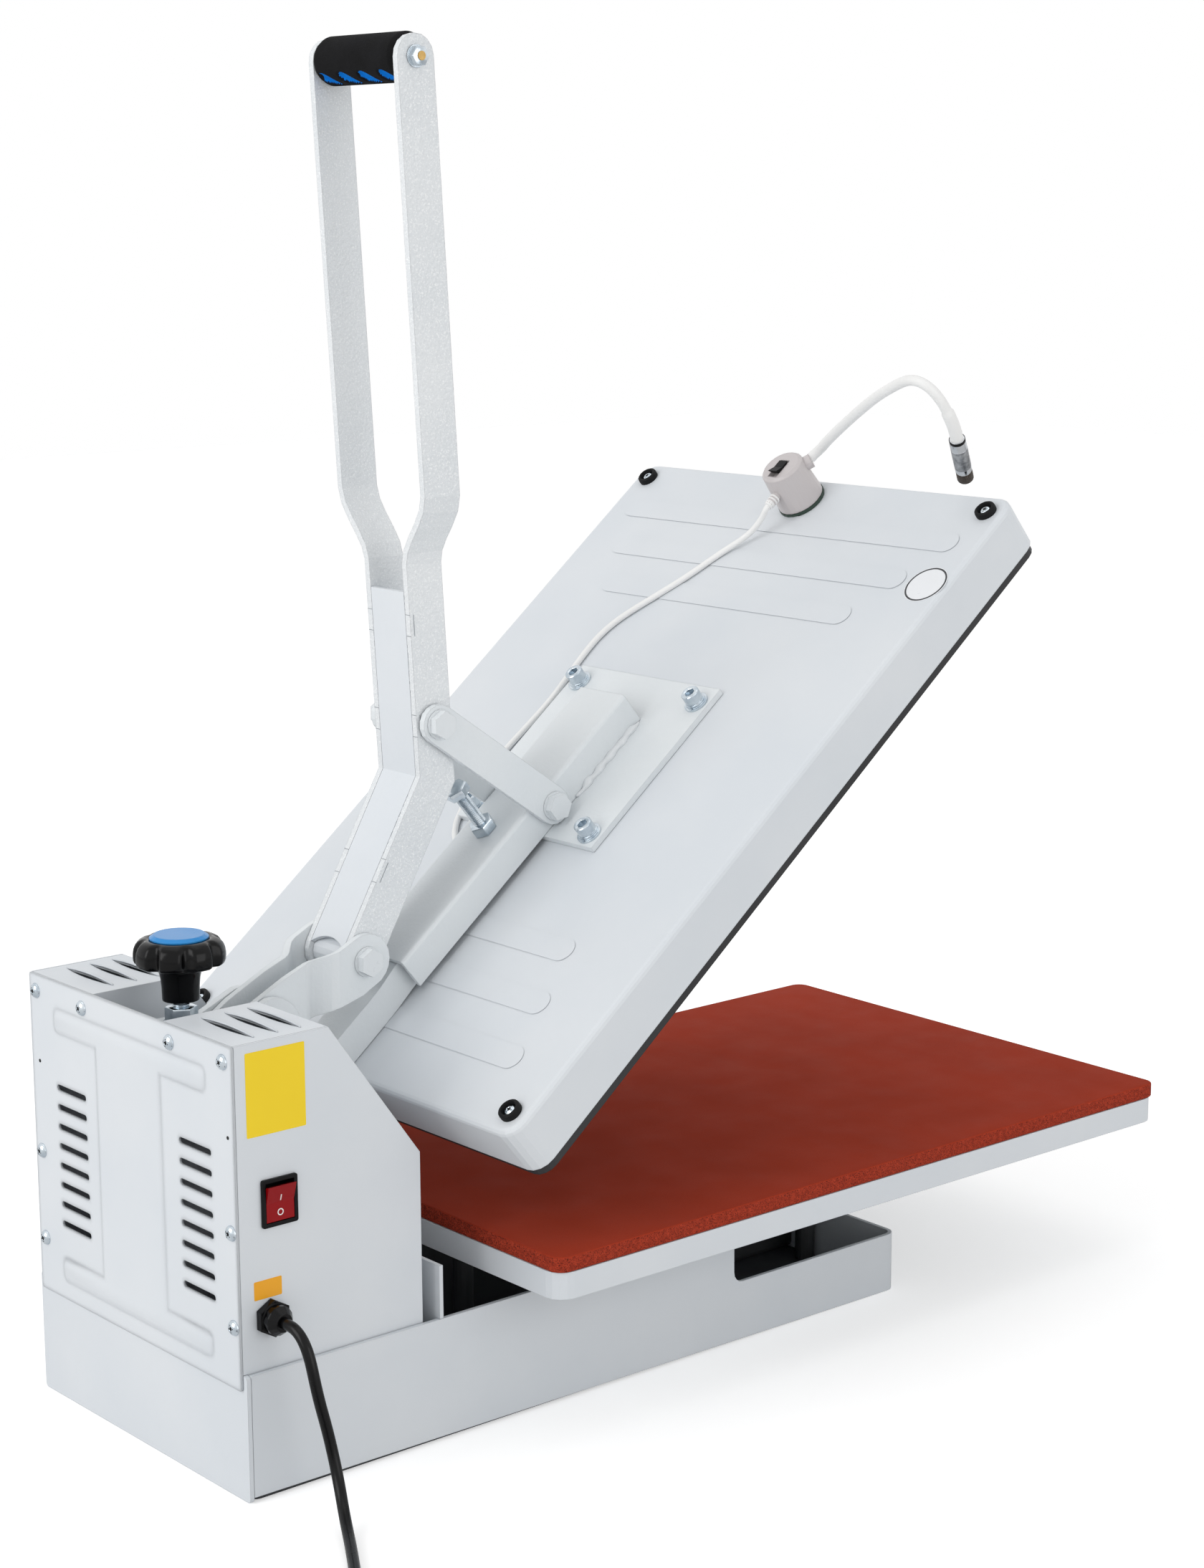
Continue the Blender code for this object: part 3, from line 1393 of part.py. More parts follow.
def make_cord(gland_face):
    start = (gland_face - clearance, back(gland_distance), gland_height)
    coil_y = back(coil_distance)
    profile = rounded(coil_band, coil_high, coil_corner, (coil_radius, coil_high / 2), 2)
    band = [(radius, height) for radius, height in reversed(profile)]
    coil = turned("cord_coil", band, "black_plastic", None, Matrix.Translation((coil_x, coil_y, 0)), 32, True)
    floor = cord_radius + clearance
    route = [
        start,
        (start[0] - 0.0035, start[1], start[2]),
        (start[0] - 0.007, start[1], start[2]),
        (start[0] - 0.0118, start[1] - 0.0033, start[2] - 0.007),
        (start[0] - 0.014, start[1] - 0.0105, start[2] - 0.0276),
        (start[0] - 0.0149, start[1] - 0.0178, start[2] - 0.0576),
        (start[0] - 0.0158, start[1] - 0.0238, start[2] - 0.0856),
        (start[0] - 0.0205, start[1] - 0.0250, start[2] - 0.1060),
        (start[0] - 0.0345, start[1] - 0.0177, floor + 0.0006),
        (start[0] - 0.0600, start[1] - 0.0022, floor),
        (start[0] - 0.1106, start[1] + 0.0287, floor),
        (coil_x + coil_meet_x, coil_y + coil_meet_y, floor),
    ]
    points = smooth_route(route, 3 * cord_radius)
    tube("mains_cord", points, cord_radius, "black_plastic")
    end = Vector(points[-1])
    onward = (end - Vector(points[-2])).normalized()
    add_lead(coil, end, onward)
    body_start = plug_length / 3
    lift = plug_face_radius * math.cos(plug_tilt) - (plug_length - body_start) * math.sin(plug_tilt)
    place = (coil_x - coil_radius - coil_band / 2 + cord_radius, coil_y + plug_gap, lift)
    matrix = Matrix.Translation(place) @ Matrix.Rotation(plug_tilt - quarter_turn, 4, "X")
    onward = matrix.to_3x3() @ directions["z"]
    add_lead(coil, Vector(place), -onward)
    profile = [
        (0, plug_length),
        (plug_face_radius, plug_length),
        (plug_face_radius, plug_length - body_start),
        (plug_neck_radius, body_start),
        (plug_neck_radius, 0),
        (0, 0),
    ]
    plug = turned("plug", profile, "black_plastic", None, matrix, 20)
    for side in (-1, 1):
        centre = Vector((side * pin_spread, 0, plug_length + pin_length / 2 - overrun))
        pin = tool("plug_pin", bar_mesh(pin_radius, pin_length, 10), matrix @ Matrix.Translation(centre))
        combine(plug, pin, "UNION")


make_base()
make_lower_platen()
make_bracket()
make_uprights()
make_housing()
make_rear_cover()
make_switch()
make_cord(make_gland())
make_pressure_screw()
make_rocker()
make_lever()
make_links()
arm = make_arm()
make_upper_platen(arm)
make_springs()
make_lamp(arm)
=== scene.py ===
import math

import bmesh
import bpy
from mathutils import Matrix, Vector


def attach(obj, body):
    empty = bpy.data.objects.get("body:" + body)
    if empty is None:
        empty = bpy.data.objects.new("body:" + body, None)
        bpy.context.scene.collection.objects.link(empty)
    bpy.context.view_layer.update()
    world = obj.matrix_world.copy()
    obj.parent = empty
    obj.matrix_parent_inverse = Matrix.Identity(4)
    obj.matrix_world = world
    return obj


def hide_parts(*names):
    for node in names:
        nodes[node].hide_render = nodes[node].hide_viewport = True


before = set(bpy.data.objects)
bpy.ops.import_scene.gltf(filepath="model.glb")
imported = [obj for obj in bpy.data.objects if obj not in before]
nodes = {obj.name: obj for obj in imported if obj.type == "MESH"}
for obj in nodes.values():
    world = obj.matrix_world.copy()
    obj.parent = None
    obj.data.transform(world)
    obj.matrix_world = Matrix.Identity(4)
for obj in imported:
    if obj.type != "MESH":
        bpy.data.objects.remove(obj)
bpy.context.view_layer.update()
scene = bpy.context.scene
scene.view_settings.view_transform = "Standard"
print("frame loaded,", len(nodes), "nodes")

# the press stands on the floor with its rear panel at rearY; heights are Z
rearY = 0.29425
gripPlace = Vector((0, rearY - 0.211, 0.905))
armPose = {"hinge": (0, rearY - 0.1181, 0.14795), "open": math.radians(-39.03), "rim": 0.0826,
           "face": 0.00435}
coverRise = 0.0388  # the outside of the upper cover, off the arm's own zero
across, upward = Vector((1, 0, 0)), Vector((0, 0, 1))


def turned(matrix, angle, axis):
    return matrix @ Matrix.Rotation(angle, 4, axis)


def shifted(matrix, x, y, z):
    return matrix @ Matrix.Translation((x, y, z))


def raised(matrix, height):
    return shifted(matrix, 0, 0, height)


armTurn = turned(Matrix.Translation(armPose["hinge"]), armPose["open"], "X")


def armFrame(x, start, rise):  # start runs along the platen from its rear rim, rise stands off it
    return shifted(armTurn, x, -armPose["rim"] - start, rise - armPose["face"])


def onArm(x, start, rise):
    return armFrame(x, start, rise).to_translation()


def alongAxis(place, direction):
    turn = upward.rotation_difference(Vector(direction).normalized())
    return Matrix.Translation(place) @ turn.to_matrix().to_4x4()


def linked(name, data):
    made = bpy.data.objects.new(name, data)
    scene.collection.objects.link(made)
    return made


cameraView = {
    "place": (-1.62467, 1.26047, 0.81315),
    "right": (-0.646098, -0.763236, -0.005362),
    "up": (0.143643, -0.128490, 0.981253),
    "lens": 68.22,
    "sensor": 36,
    "nearest": 0.05,
}


def addCamera(view):
    data = bpy.data.cameras.new("camera")
    data.sensor_fit = "VERTICAL"
    data.sensor_height = view["sensor"]
    data.lens = view["lens"]
    data.clip_start = view["nearest"]
    right, up = Vector(view["right"]), Vector(view["up"])
    turn = Matrix((right, up, right.cross(up))).transposed()
    scene.camera = linked("camera", data)
    scene.camera.matrix_world = Matrix.Translation(view["place"]) @ turn.to_4x4()


addCamera(cameraView)


# materials

def linear(colour):
    shares = [c / 255 for c in colour]
    return tuple(s / 12.92 if s <= 0.04045 else ((s + 0.055) / 1.055) ** 2.4 for s in shares) + (1.0,)


def newTree(name):
    material = bpy.data.materials.new(name)
    material.use_nodes = True
    tree = material.node_tree
    tree.nodes.clear()
    out = tree.nodes.new("ShaderNodeOutputMaterial")
    shader = tree.nodes.new("ShaderNodeBsdfPrincipled")
    tree.links.new(shader.outputs[0], out.inputs[0])
    return material, tree, shader


def feed(tree, value, socket):
    if isinstance(value, bpy.types.NodeSocket):
        tree.links.new(value, socket)
    else:
        socket.default_value = value


def noise(tree, where, scale, detail=3):
    node = tree.nodes.new("ShaderNodeTexNoise")
    node.inputs["Scale"].default_value = scale
    node.inputs["Detail"].default_value = detail
    feed(tree, where, node.inputs["Vector"])
    return node.outputs[0]


def cells(tree, where, scale):
    node = tree.nodes.new("ShaderNodeTexVoronoi")
    node.feature = "SMOOTH_F1"
    node.inputs["Scale"].default_value = scale
    feed(tree, where, node.inputs["Vector"])
    return node.outputs[0]


def between(tree, value, *limits):  # from low and high to their new values
    node = tree.nodes.new("ShaderNodeMapRange")
    for socket, number in zip(node.inputs, (value, *limits)):
        feed(tree, number, socket)
    return node.outputs[0]


def sums(tree, operation, *values):
    node = tree.nodes.new("ShaderNodeMath")
    node.operation = operation
    for socket, value in zip(node.inputs, values):
        feed(tree, value, socket)
    return node.outputs[0]


def blendColour(tree, share, first, second):
    node = tree.nodes.new("ShaderNodeMix")
    node.data_type = "RGBA"
    for number, value in ((0, share), (6, first), (7, second)):
        feed(tree, value, node.inputs[number])
    return node.outputs[2]


# what all surfaces share: the spread of their colours and gloss, and a coat's roughness
mottle = {"patch": 9, "colour": (0.35, 0.65), "glossPatch": 30, "gloss": (0.3, 0.7), "coatRough": 0.15,
          "bevelSamples": 4}


def surface(name, look):  # mottled colour, uneven gloss and one or more layers of relief
    material, tree, shader = newTree(name)
    where = tree.nodes.new("ShaderNodeTexCoord").outputs["Object"]
    share = noise(tree, where, look.get("patch", mottle["patch"]), 4)
    share = between(tree, share, *mottle["colour"], 0, 1)
    colour = blendColour(tree, share, linear(look["colour"]), linear(look["tint"]))
    if "fleck" in look:
        size, fleckColour, low, high = look["fleck"]
        share = between(tree, noise(tree, where, size, 2), low, high, 0, 1)
        colour = blendColour(tree, share, colour, linear(fleckColour))
    if "extra" in look:
        colour = look["extra"](tree, where, colour)
    share = noise(tree, where, mottle["glossPatch"], 5)
    rough = between(tree, share, *mottle["gloss"], *look["rough"])
    normal = None
    if "edge" in look:
        bevel = tree.nodes.new("ShaderNodeBevel")
        bevel.samples = mottle["bevelSamples"]
        bevel.inputs["Radius"].default_value = look["edge"]
        normal = bevel.outputs[0]
    for kind, size, strength, depth in look["relief"]:
        bump = tree.nodes.new("ShaderNodeBump")
        for socket, value in (("Strength", strength), ("Distance", depth),
                              ("Height", kind(tree, where, size))):
            feed(tree, value, bump.inputs[socket])
        if normal:
            feed(tree, normal, bump.inputs["Normal"])
        normal = bump.outputs[0]
    for socket, value in (("Base Color", colour), ("Roughness", rough), ("Normal", normal),
                          ("Metallic", look.get("metal", 0.0)),
                          ("Specular IOR Level", look.get("specular", 0.5)),
                          ("Coat Weight", look.get("coat", 0.0)),
                          ("Coat Roughness", mottle["coatRough"])):
        feed(tree, value, shader.inputs[socket])
    return material


panelJoint = {"x": 0.1224, "line": (0.00012, 0.0003), "colour": (92, 96, 100)}
padMark = {"place": (0.022, -0.095, 0.1361), "size": (0.0018, 0.0045), "share": 0.55,
           "colour": (70, 34, 28)}


def panelSeams(tree, where, colour):  # the joints of the separate side panels
    parts = tree.nodes.new("ShaderNodeSeparateXYZ")
    feed(tree, where, parts.inputs[0])
    away = sums(tree, "SUBTRACT", sums(tree, "ABSOLUTE", parts.outputs[0]), panelJoint["x"])
    line = between(tree, sums(tree, "ABSOLUTE", away), *panelJoint["line"], 1, 0)
    return blendColour(tree, line, colour, linear(panelJoint["colour"]))


def padSpot(tree, where, colour):  # one faint dark mark on the pad
    node = tree.nodes.new("ShaderNodeVectorMath")
    node.operation = "DISTANCE"
    feed(tree, where, node.inputs[0])
    feed(tree, padMark["place"], node.inputs[1])
    share = between(tree, node.outputs[1], *padMark["size"], padMark["share"], 0)
    return blendColour(tree, share, colour, linear(padMark["colour"]))


# relief as its kind, size, strength and depth
fineGrain = [(noise, 500, 0.05, 0.0003)]
paintGrain = [(noise, 700, 0.10, 0.0004)]


def coating(colour, tint, rough, relief=fineGrain, **rest):
    return {"colour": colour, "tint": tint, "rough": rough, "relief": relief, **rest}


looks = {
    "sheetPaint": coating((216, 220, 224), (211, 216, 221), (0.34, 0.46), paintGrain, edge=0.0009),
    "housingPaint": coating((217, 221, 225), (212, 217, 222), (0.34, 0.46), paintGrain, edge=0.0009,
        extra=panelSeams),
    "orangePeel": coating((226, 230, 232), (220, 225, 228), (0.28, 0.42),
        [(noise, 420, 0.28, 0.0007), (cells, 900, 0.12, 0.0003)], edge=0.0010),
    "boltPaint": coating((226, 229, 231), (219, 224, 227), (0.26, 0.38), [(noise, 420, 0.15, 0.0005)],
        edge=0.0004),
    "pressedPaint": coating((217, 221, 225), (212, 217, 222), (0.34, 0.46), paintGrain, edge=0.0050),
    "hammered": coating((226, 229, 231), (218, 222, 225), (0.26, 0.44),
        [(cells, 520, 0.55, 0.0008), (noise, 1300, 0.25, 0.0004)], edge=0.0010,
        fleck=(900, (240, 242, 243), 0.56, 0.66)),
    "webPaint": coating((222, 226, 230), (216, 221, 226), (0.34, 0.44), [(noise, 600, 0.14, 0.0004)],
        edge=0.0008),
    "weldPaint": coating((226, 229, 231), (214, 218, 221), (0.14, 0.26), [(noise, 260, 0.35, 0.0012)],
        coat=0.4),
    "seamLine": coating((138, 144, 149), (156, 161, 166), (0.5, 0.6), patch=200),
    "innerSteel": coating((64, 66, 68), (52, 54, 57), (0.5, 0.7), [(noise, 500, 0.2, 0.0005)], edge=0.0008),
    "padFace": coating((166, 58, 36), (160, 56, 35), (0.70, 0.85),
        [(noise, 1500, 0.25, 0.0004), (noise, 90, 0.08, 0.0010)], patch=14,
        fleck=(1500, (132, 44, 28), 0.60, 0.74), specular=0.06, extra=padSpot),
    "padEdge": coating((176, 64, 42), (150, 52, 34), (0.75, 0.9), [(cells, 900, 0.9, 0.0014)], patch=300,
        specular=0.1, fleck=(1100, (96, 34, 25), 0.56, 0.62)),
    "blackGloss": coating((4, 4, 5), (7, 7, 8), (0.10, 0.18), [(noise, 240, 0.05, 0.0006)], edge=0.0014,
        specular=0.2),
    "blackSatin": coating((10, 10, 12), (15, 15, 17), (0.38, 0.55), [(noise, 1400, 0.22, 0.0003)],
        edge=0.0006, specular=0.15),
    "blueCap": coating((38, 136, 205), (32, 128, 198), (0.18, 0.30), [(noise, 300, 0.05, 0.0004)],
        specular=0.3, edge=0.0012),
    "redButton": coating((150, 8, 16), (134, 5, 12), (0.16, 0.26), [(noise, 260, 0.06, 0.0005)], coat=0.04,
        specular=0.18, edge=0.0007),
    "foamSkin": coating((22, 22, 23), (28, 28, 30), (0.88, 0.98),
        [(noise, 1700, 0.9, 0.0006), (noise, 260, 0.3, 0.0009)], patch=60, specular=0.1),
    "foamCore": coating((6, 122, 214), (4, 112, 206), (0.85, 0.95), [(noise, 1700, 0.7, 0.0005)], patch=80,
        specular=0.15),
    "zinc": coating((212, 220, 226), (186, 197, 206), (0.10, 0.24), [(noise, 900, 0.12, 0.0003)], metal=1.0,
        patch=160, edge=0.0005),
    "rawSteel": coating((150, 152, 154), (128, 130, 133), (0.28, 0.5), [(noise, 700, 0.2, 0.0004)],
        metal=1.0, patch=120, edge=0.0005),
    "chrome": coating((206, 208, 211), (192, 195, 199), (0.06, 0.14), [(noise, 500, 0.04, 0.0003)],
        metal=1.0, patch=90, edge=0.0005),
    "bronzeCap": coating((92, 84, 78), (76, 69, 64), (0.3, 0.45), [(noise, 800, 0.1, 0.0003)], metal=0.9,
        patch=120),
    "dullBand": coating((168, 170, 173), (120, 122, 126), (0.3, 0.45), [(noise, 800, 0.1, 0.0003)],
        metal=0.8, patch=260),
    "brass": coating((190, 158, 100), (168, 136, 82), (0.28, 0.42), [(noise, 900, 0.15, 0.0003)], metal=1.0,
        patch=200),
    "heatFace": coating((44, 44, 46), (36, 36, 38), (0.42, 0.6), [(noise, 900, 0.15, 0.0003)], edge=0.0008,
        metal=0.2),
    "lampShell": coating((199, 193, 193), (193, 187, 188), (0.30, 0.42), [(noise, 900, 0.03, 0.0003)],
        edge=0.0016),
    "lampSeal": coating((42, 62, 51), (36, 55, 45), (0.4, 0.6), [(noise, 900, 0.15, 0.0003)], edge=0.0004),
    "neckSleeve": coating((238, 238, 237), (234, 234, 233), (0.40, 0.50), [(noise, 60, 0.02, 0.0002)]),
    "fibre": coating((214, 208, 190), (200, 193, 172), (0.9, 0.98), [(noise, 420, 0.8, 0.0015)], patch=80),
    "cordSheath": coating((4, 4, 5), (8, 8, 9), (0.2, 0.32), [(noise, 500, 0.12, 0.0004)], patch=40,
        specular=0.22),
    "rubber": coating((14, 14, 15), (20, 20, 22), (0.55, 0.72), [(noise, 1100, 0.25, 0.0004)], specular=0.2),
    "yellowLabel": coating((246, 214, 8), (242, 208, 6), (0.3, 0.4)),
    "amberLabel": coating((240, 168, 10), (236, 160, 8), (0.3, 0.4)),
    "whiteSticker": coating((233, 235, 238), (229, 231, 234), (0.25, 0.34)),
    "inkLine": coating((40, 42, 46), (48, 50, 54), (0.4, 0.5)),
    "whiteMark": coating((236, 232, 230), (228, 224, 222), (0.4, 0.5)),
    # painted shade: a near-black finish laid on screw slots and punched holes, in place of the shade inside
    # them
    "holeShade": coating((12, 12, 13), (8, 8, 9), (0.7, 0.9), [(noise, 500, 0.1, 0.0003)]),
    "displayGlass": coating((30, 10, 12), (24, 8, 10), (0.05, 0.1), [(noise, 200, 0.03, 0.0003)], coat=0.6),
    "redSegment": coating((196, 34, 30), (180, 26, 24), (0.3, 0.4)),
    "greyKey": coating((176, 181, 186), (168, 173, 179), (0.4, 0.52), [(noise, 900, 0.12, 0.0003)],
        edge=0.0008),
    "greenKey": coating((52, 142, 84), (46, 132, 76), (0.4, 0.52), [(noise, 900, 0.12, 0.0003)],
        edge=0.0008),
}
finish = {name: surface(name, look) for name, look in looks.items()}

nodeFinish = {
    "sheetPaint": ("base_frame", "rear_plate", "cross_bracket", "lower_plate", "upper_cover"),
    "housingPaint": ("housing_shell",),
    "orangePeel": ("arm_channel", "mounting_plate", "link_left", "link_right", "rocker_left",
                   "rocker_right", "arm_tube", "upright_left", "upright_right", "screw_bracket"),
    "boltPaint": ("link_pin", "link_bolt_left", "link_bolt_right", "lever_pin"),
    "hammered": ("lever_bar_left", "lever_bar_right"),
    "webPaint": ("lever_web", "lever_barrel"),
    "innerSteel": ("base_floor", "spine", "platen_rail_front", "platen_rail_rear"),
    "blackGloss": ("cord_gland",),
    "blackSatin": ("power_switch", "controller", "relay", "lamp_button", "plug"),
    "blueCap": ("knob_cap",),
    "redButton": ("power_button",),
    "zinc": ("arm_pin", "rocker_pin", "trunnion_nut"),
    "rawSteel": ("lift_spring_left", "lift_spring_right", "heating_element"),
    "heatFace": ("heat_plate",),
    "lampShell": ("lamp_body",),
    "lampSeal": ("lamp_ring",),
    "fibre": ("insulation",),
}
for look, names in nodeFinish.items():
    for name in names:
        for slot in nodes[name].material_slots:
            slot.material = finish[look]
print("finishes laid on the nodes")


# making pieces

tiny = 1e-6


def piece(name, work, looksUsed, body, sharp=35, stands=()):
    bmesh.ops.remove_doubles(work, verts=work.verts, dist=tiny)
    bmesh.ops.recalc_face_normals(work, faces=work.faces)
    mesh = bpy.data.meshes.new(name)
    work.to_mesh(mesh)
    work.free()
    mesh.shade_smooth()
    mesh.set_sharp_from_angle(angle=math.radians(sharp))
    for look in looksUsed:
        mesh.materials.append(finish[look])
    made = linked(name, mesh)
    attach(made, body)
    if stands:
        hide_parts(*stands)
    return made


def edgesOf(verts):
    return list({edge for vert in verts for edge in vert.link_edges})


def facesOf(verts):
    return list({face for vert in verts for face in vert.link_faces})


def paintFaces(verts, index):
    for face in facesOf(verts):
        face.material_index = index


def bevelled(work, verts, edges, offset, segments):
    cut = bmesh.ops.bevel(work, geom=edges, offset=offset, segments=segments, profile=0.5, affect="EDGES",
                          material=-1)
    return list({vert for face in cut["faces"] for vert in face.verts}
                | {vert for vert in verts if vert.is_valid})


def addDrum(work, radius, height, matrix, sides=32, index=0):  # stands on its own z 0
    made = bmesh.ops.create_cone(work, cap_ends=True, segments=sides, radius1=radius, radius2=radius,
                                 depth=height, matrix=raised(matrix, height / 2))["verts"]
    paintFaces(made, index)
    return made


def addLathe(work, profile, matrix, steps=32, index=0):
    verts = [work.verts.new((radius, 0, height)) for radius, height in profile]
    edges = [work.edges.new(pair) for pair in zip(verts, verts[1:])]
    old = set(work.verts) - set(verts)
    bmesh.ops.spin(work, geom=verts + edges, cent=(0, 0, 0), axis=(0, 0, 1), dvec=(0, 0, 0),
                   angle=2 * math.pi, steps=steps, use_merge=True)
    made = [vert for vert in work.verts if vert not in old]
    bmesh.ops.remove_doubles(work, verts=made, dist=tiny)
    made = [vert for vert in work.verts if vert not in old]
    bmesh.ops.transform(work, matrix=matrix, verts=made)
    paintFaces(made, index)
    return made


def addRing(work, inner, outer, low, high, matrix, steps, index=0):
    addLathe(work, [(inner, low), (inner, high), (outer, high), (outer, low), (inner, low)], matrix,
             steps, index)


def addBlock(work, size, matrix, index=0):
    made = bmesh.ops.create_cube(work, size=1, matrix=matrix @ Matrix.Diagonal((*size, 1)))
    paintFaces(made["verts"], index)


def addRounded(work, width, length, radius, low, high, matrix):  # a flat plate with round corners
    middle = (low + high) / 2
    size = Matrix.Diagonal((width, length, high - low, 1))
    verts = bmesh.ops.create_cube(work, size=1, matrix=raised(Matrix(), middle) @ size)["verts"]
    upright = [edge for edge in edgesOf(verts)
               if abs(edge.verts[0].co.z - edge.verts[1].co.z) > (high - low) / 2]
    bmesh.ops.transform(work, matrix=matrix, verts=bevelled(work, verts, upright, radius, 8))


def addRun(work, places, radii, sides):  # a round bar led through places, thicker and thinner
    edges, old = None, None
    for count, (place, radius) in enumerate(zip(places, radii)):
        ahead = places[min(count + 1, len(places) - 1)]
        behind = places[max(count - 1, 0)]
        matrix = alongAxis(place, ahead - behind) @ Matrix.Diagonal((radius, radius, radius, 1))
        if edges is None:
            ring = bmesh.ops.create_circle(work, cap_ends=True, segments=sides, radius=1, matrix=matrix)
            edges = edgesOf(ring["verts"])
        else:
            new = bmesh.ops.extrude_edge_only(work, edges=edges)["geom"]
            ring = [item for item in new if isinstance(item, bmesh.types.BMVert)]
            edges = [item for item in new if isinstance(item, bmesh.types.BMEdge)
                     and item.verts[0] in ring and item.verts[1] in ring]
            bmesh.ops.transform(work, matrix=matrix @ old.inverted(), verts=ring)
        old = matrix
    bmesh.ops.edgeloop_fill(work, edges=edges)


def addHex(work, width, height, matrix):  # width across the flats, top corners chamfered
    made = addDrum(work, width / math.sqrt(3), height, Matrix(), 6)
    top = [edge for edge in edgesOf(made) if all(vert.co.z > height * 0.99 for vert in edge.verts)]
    bmesh.ops.transform(work, matrix=matrix, verts=bevelled(work, made, top, height * 0.12, 2))


threadShape = {"root": 0.86, "tip": 0.7, "steps": 24}


def addThread(work, radius, pitch, low, high, matrix):
    root = radius * threadShape["root"]
    count = int((high - low) / pitch)
    profile = [(0, low)]
    for turn in range(count):
        profile += [(root, low + turn * pitch), (radius, low + (turn + 0.5) * pitch)]
    profile += [(root, low + count * pitch), (radius * threadShape["tip"], high), (0, high)]
    addLathe(work, profile, matrix, threadShape["steps"])


def hexHole(verts, centre, axis, reach, size):  # pulls a round hole's rim onto a hexagon
    for vert in verts:
        away = vert.co - centre
        aside = away - axis * away.dot(axis)
        if 0 < aside.length < reach:
            turn = aside.angle(across)
            turn = (turn + math.pi / 6) % (math.pi / 3) - math.pi / 6
            vert.co += aside.normalized() * (size / math.cos(turn) - aside.length)


# a pan head with a cross slot, in shares of its radius; the slot is two dark blocks flush with the head,
# painted shade in place of a recess
panHead = {"profile": [(0, 0.50), (0.16, 0.50), (0.34, 0.60), (0.62, 0.53), (0.86, 0.34), (1, 0.10), (1, 0),
                       (0, 0)],
           "slot": (1.02, 0.20, 0.18), "slotAt": 0.49, "steps": 24}


def addPanScrew(work, size, place, direction, spin, slotShade):
    matrix = turned(alongAxis(place, direction), spin, "Z")
    addLathe(work, [(size * r, size * z) for r, z in panHead["profile"]], matrix, panHead["steps"])
    for turn in (0, math.pi / 2):
        slot = raised(turned(matrix, turn, "Z"), size * panHead["slotAt"])
        addBlock(work, [size * share for share in panHead["slot"]], slot, slotShade)


def addCapScrew(work, head, matrix):  # socket cap screw on a flat washer and a spring washer
    for radius, thick in head["washers"]:
        addLathe(work, [(0, thick), (radius, thick), (radius, 0), (0, 0)], matrix)
        matrix = raised(matrix, thick)
    r, h, s = head["radius"], head["height"], head["socket"]
    made = addLathe(work, [(0, h * 0.35), (s * 0.96, h * 0.38), (s, h * 0.94), (s * 1.12, h), (r * 0.9, h),
                           (r, h * 0.92), (r, 0), (0, 0)], matrix, 36)
    centre = matrix.translation
    axis = (matrix.to_3x3() @ upward).normalized()
    hexHole([v for v in made if (v.co - centre).dot(axis) > h * 0.3], centre, axis, s * 1.03, s * 0.9)


def makeCord(name, lead, points, look, body, *stands):  # one curve led through its points
    curve = bpy.data.curves.new(name, "CURVE")
    curve.dimensions = "3D"
    curve.bevel_depth = lead["diameter"] / 2
    curve.bevel_resolution, curve.resolution_u = lead["fineness"]
    curve.use_fill_caps = True
    spline = curve.splines.new("NURBS")
    spline.points.add(len(points) - 1)
    for spot, place in zip(spline.points, points):
        spot.co = (*place, 1)
    spline.order_u = 4
    spline.use_endpoint_u = True
    curve.materials.append(finish[look])
    cord = linked(name, curve)
    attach(cord, body)
    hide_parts(*stands)
    return cord


# the mains cord, one lead from the gland through its coil to the plug
mainsLead = {
    "diameter": 0.0076,
    "fineness": (5, 5),
    "gland": (-0.1404, rearY - 0.0237, 0.1196),
    "route": [(0, 0, 0), (-0.0050, 0, 0), (-0.0100, -0.0001, -0.0003), (-0.0165, -0.0004, -0.0035),
              (-0.0222, -0.0008, -0.0102), (-0.0258, -0.0014, -0.0195), (-0.0280, -0.0025, -0.0320),
              (-0.0300, -0.0045, -0.0460), (-0.0318, -0.0074, -0.0600), (-0.0335, -0.0096, -0.0735),
              (-0.0370, -0.0105, -0.0875), (-0.0440, -0.0085, -0.0995), (-0.0545, -0.0035, -0.1088),
              (-0.0685, 0.0038, -0.1142), (-0.0850, 0.0131, -0.1155), (-0.1106, 0.0287, -0.1155),
              (-0.1306, 0.0410, -0.1155), (-0.1530, 0.0542, -0.1155)],
    "coil": (-0.294, rearY + 0.089),
    "outer": 0.0495,
    "pitch": 0.0079,
    "meet": math.radians(-120.9),
    "turns": (2.432, 0.3, 2.432),
    "perTurn": 18,
    "low": 0.0041,
    "layer": 0.0078,
    "plug": 0.033,
    "ease": (0.4, 0.75),
}


def makeMainsLead(lead):
    gland = Vector(lead["gland"])
    points = [gland + Vector(step) for step in lead["route"]]
    inwards, rise, outwards = lead["turns"]
    total = inwards + rise + outwards
    steps = int(total * lead["perTurn"])
    x, y = lead["coil"]
    for step in range(1, steps + 1):
        turn = total * step / steps
        into = min(turn, inwards) - max(0, turn - inwards - rise)
        lift = max(0.0, min(1.0, (turn - inwards) / rise))
        lift = lift * lift * (3 - 2 * lift)
        radius = lead["outer"] - lead["pitch"] * into
        angle = lead["meet"] - 2 * math.pi * turn
        points.append(Vector((x + radius * math.cos(angle), y + radius * math.sin(angle),
                              lead["low"] + lead["layer"] * lift)))
    last = points[-1]
    neck = Vector((last.x, y + lead["plug"], lead["low"] + lead["layer"]))
    points += [last.lerp(neck, share) for share in lead["ease"]] + [neck]
    cord = makeCord("mains_lead", lead, points, "cordSheath", "base", "mains_cord", "cord_coil")


makeMainsLead(mainsLead)

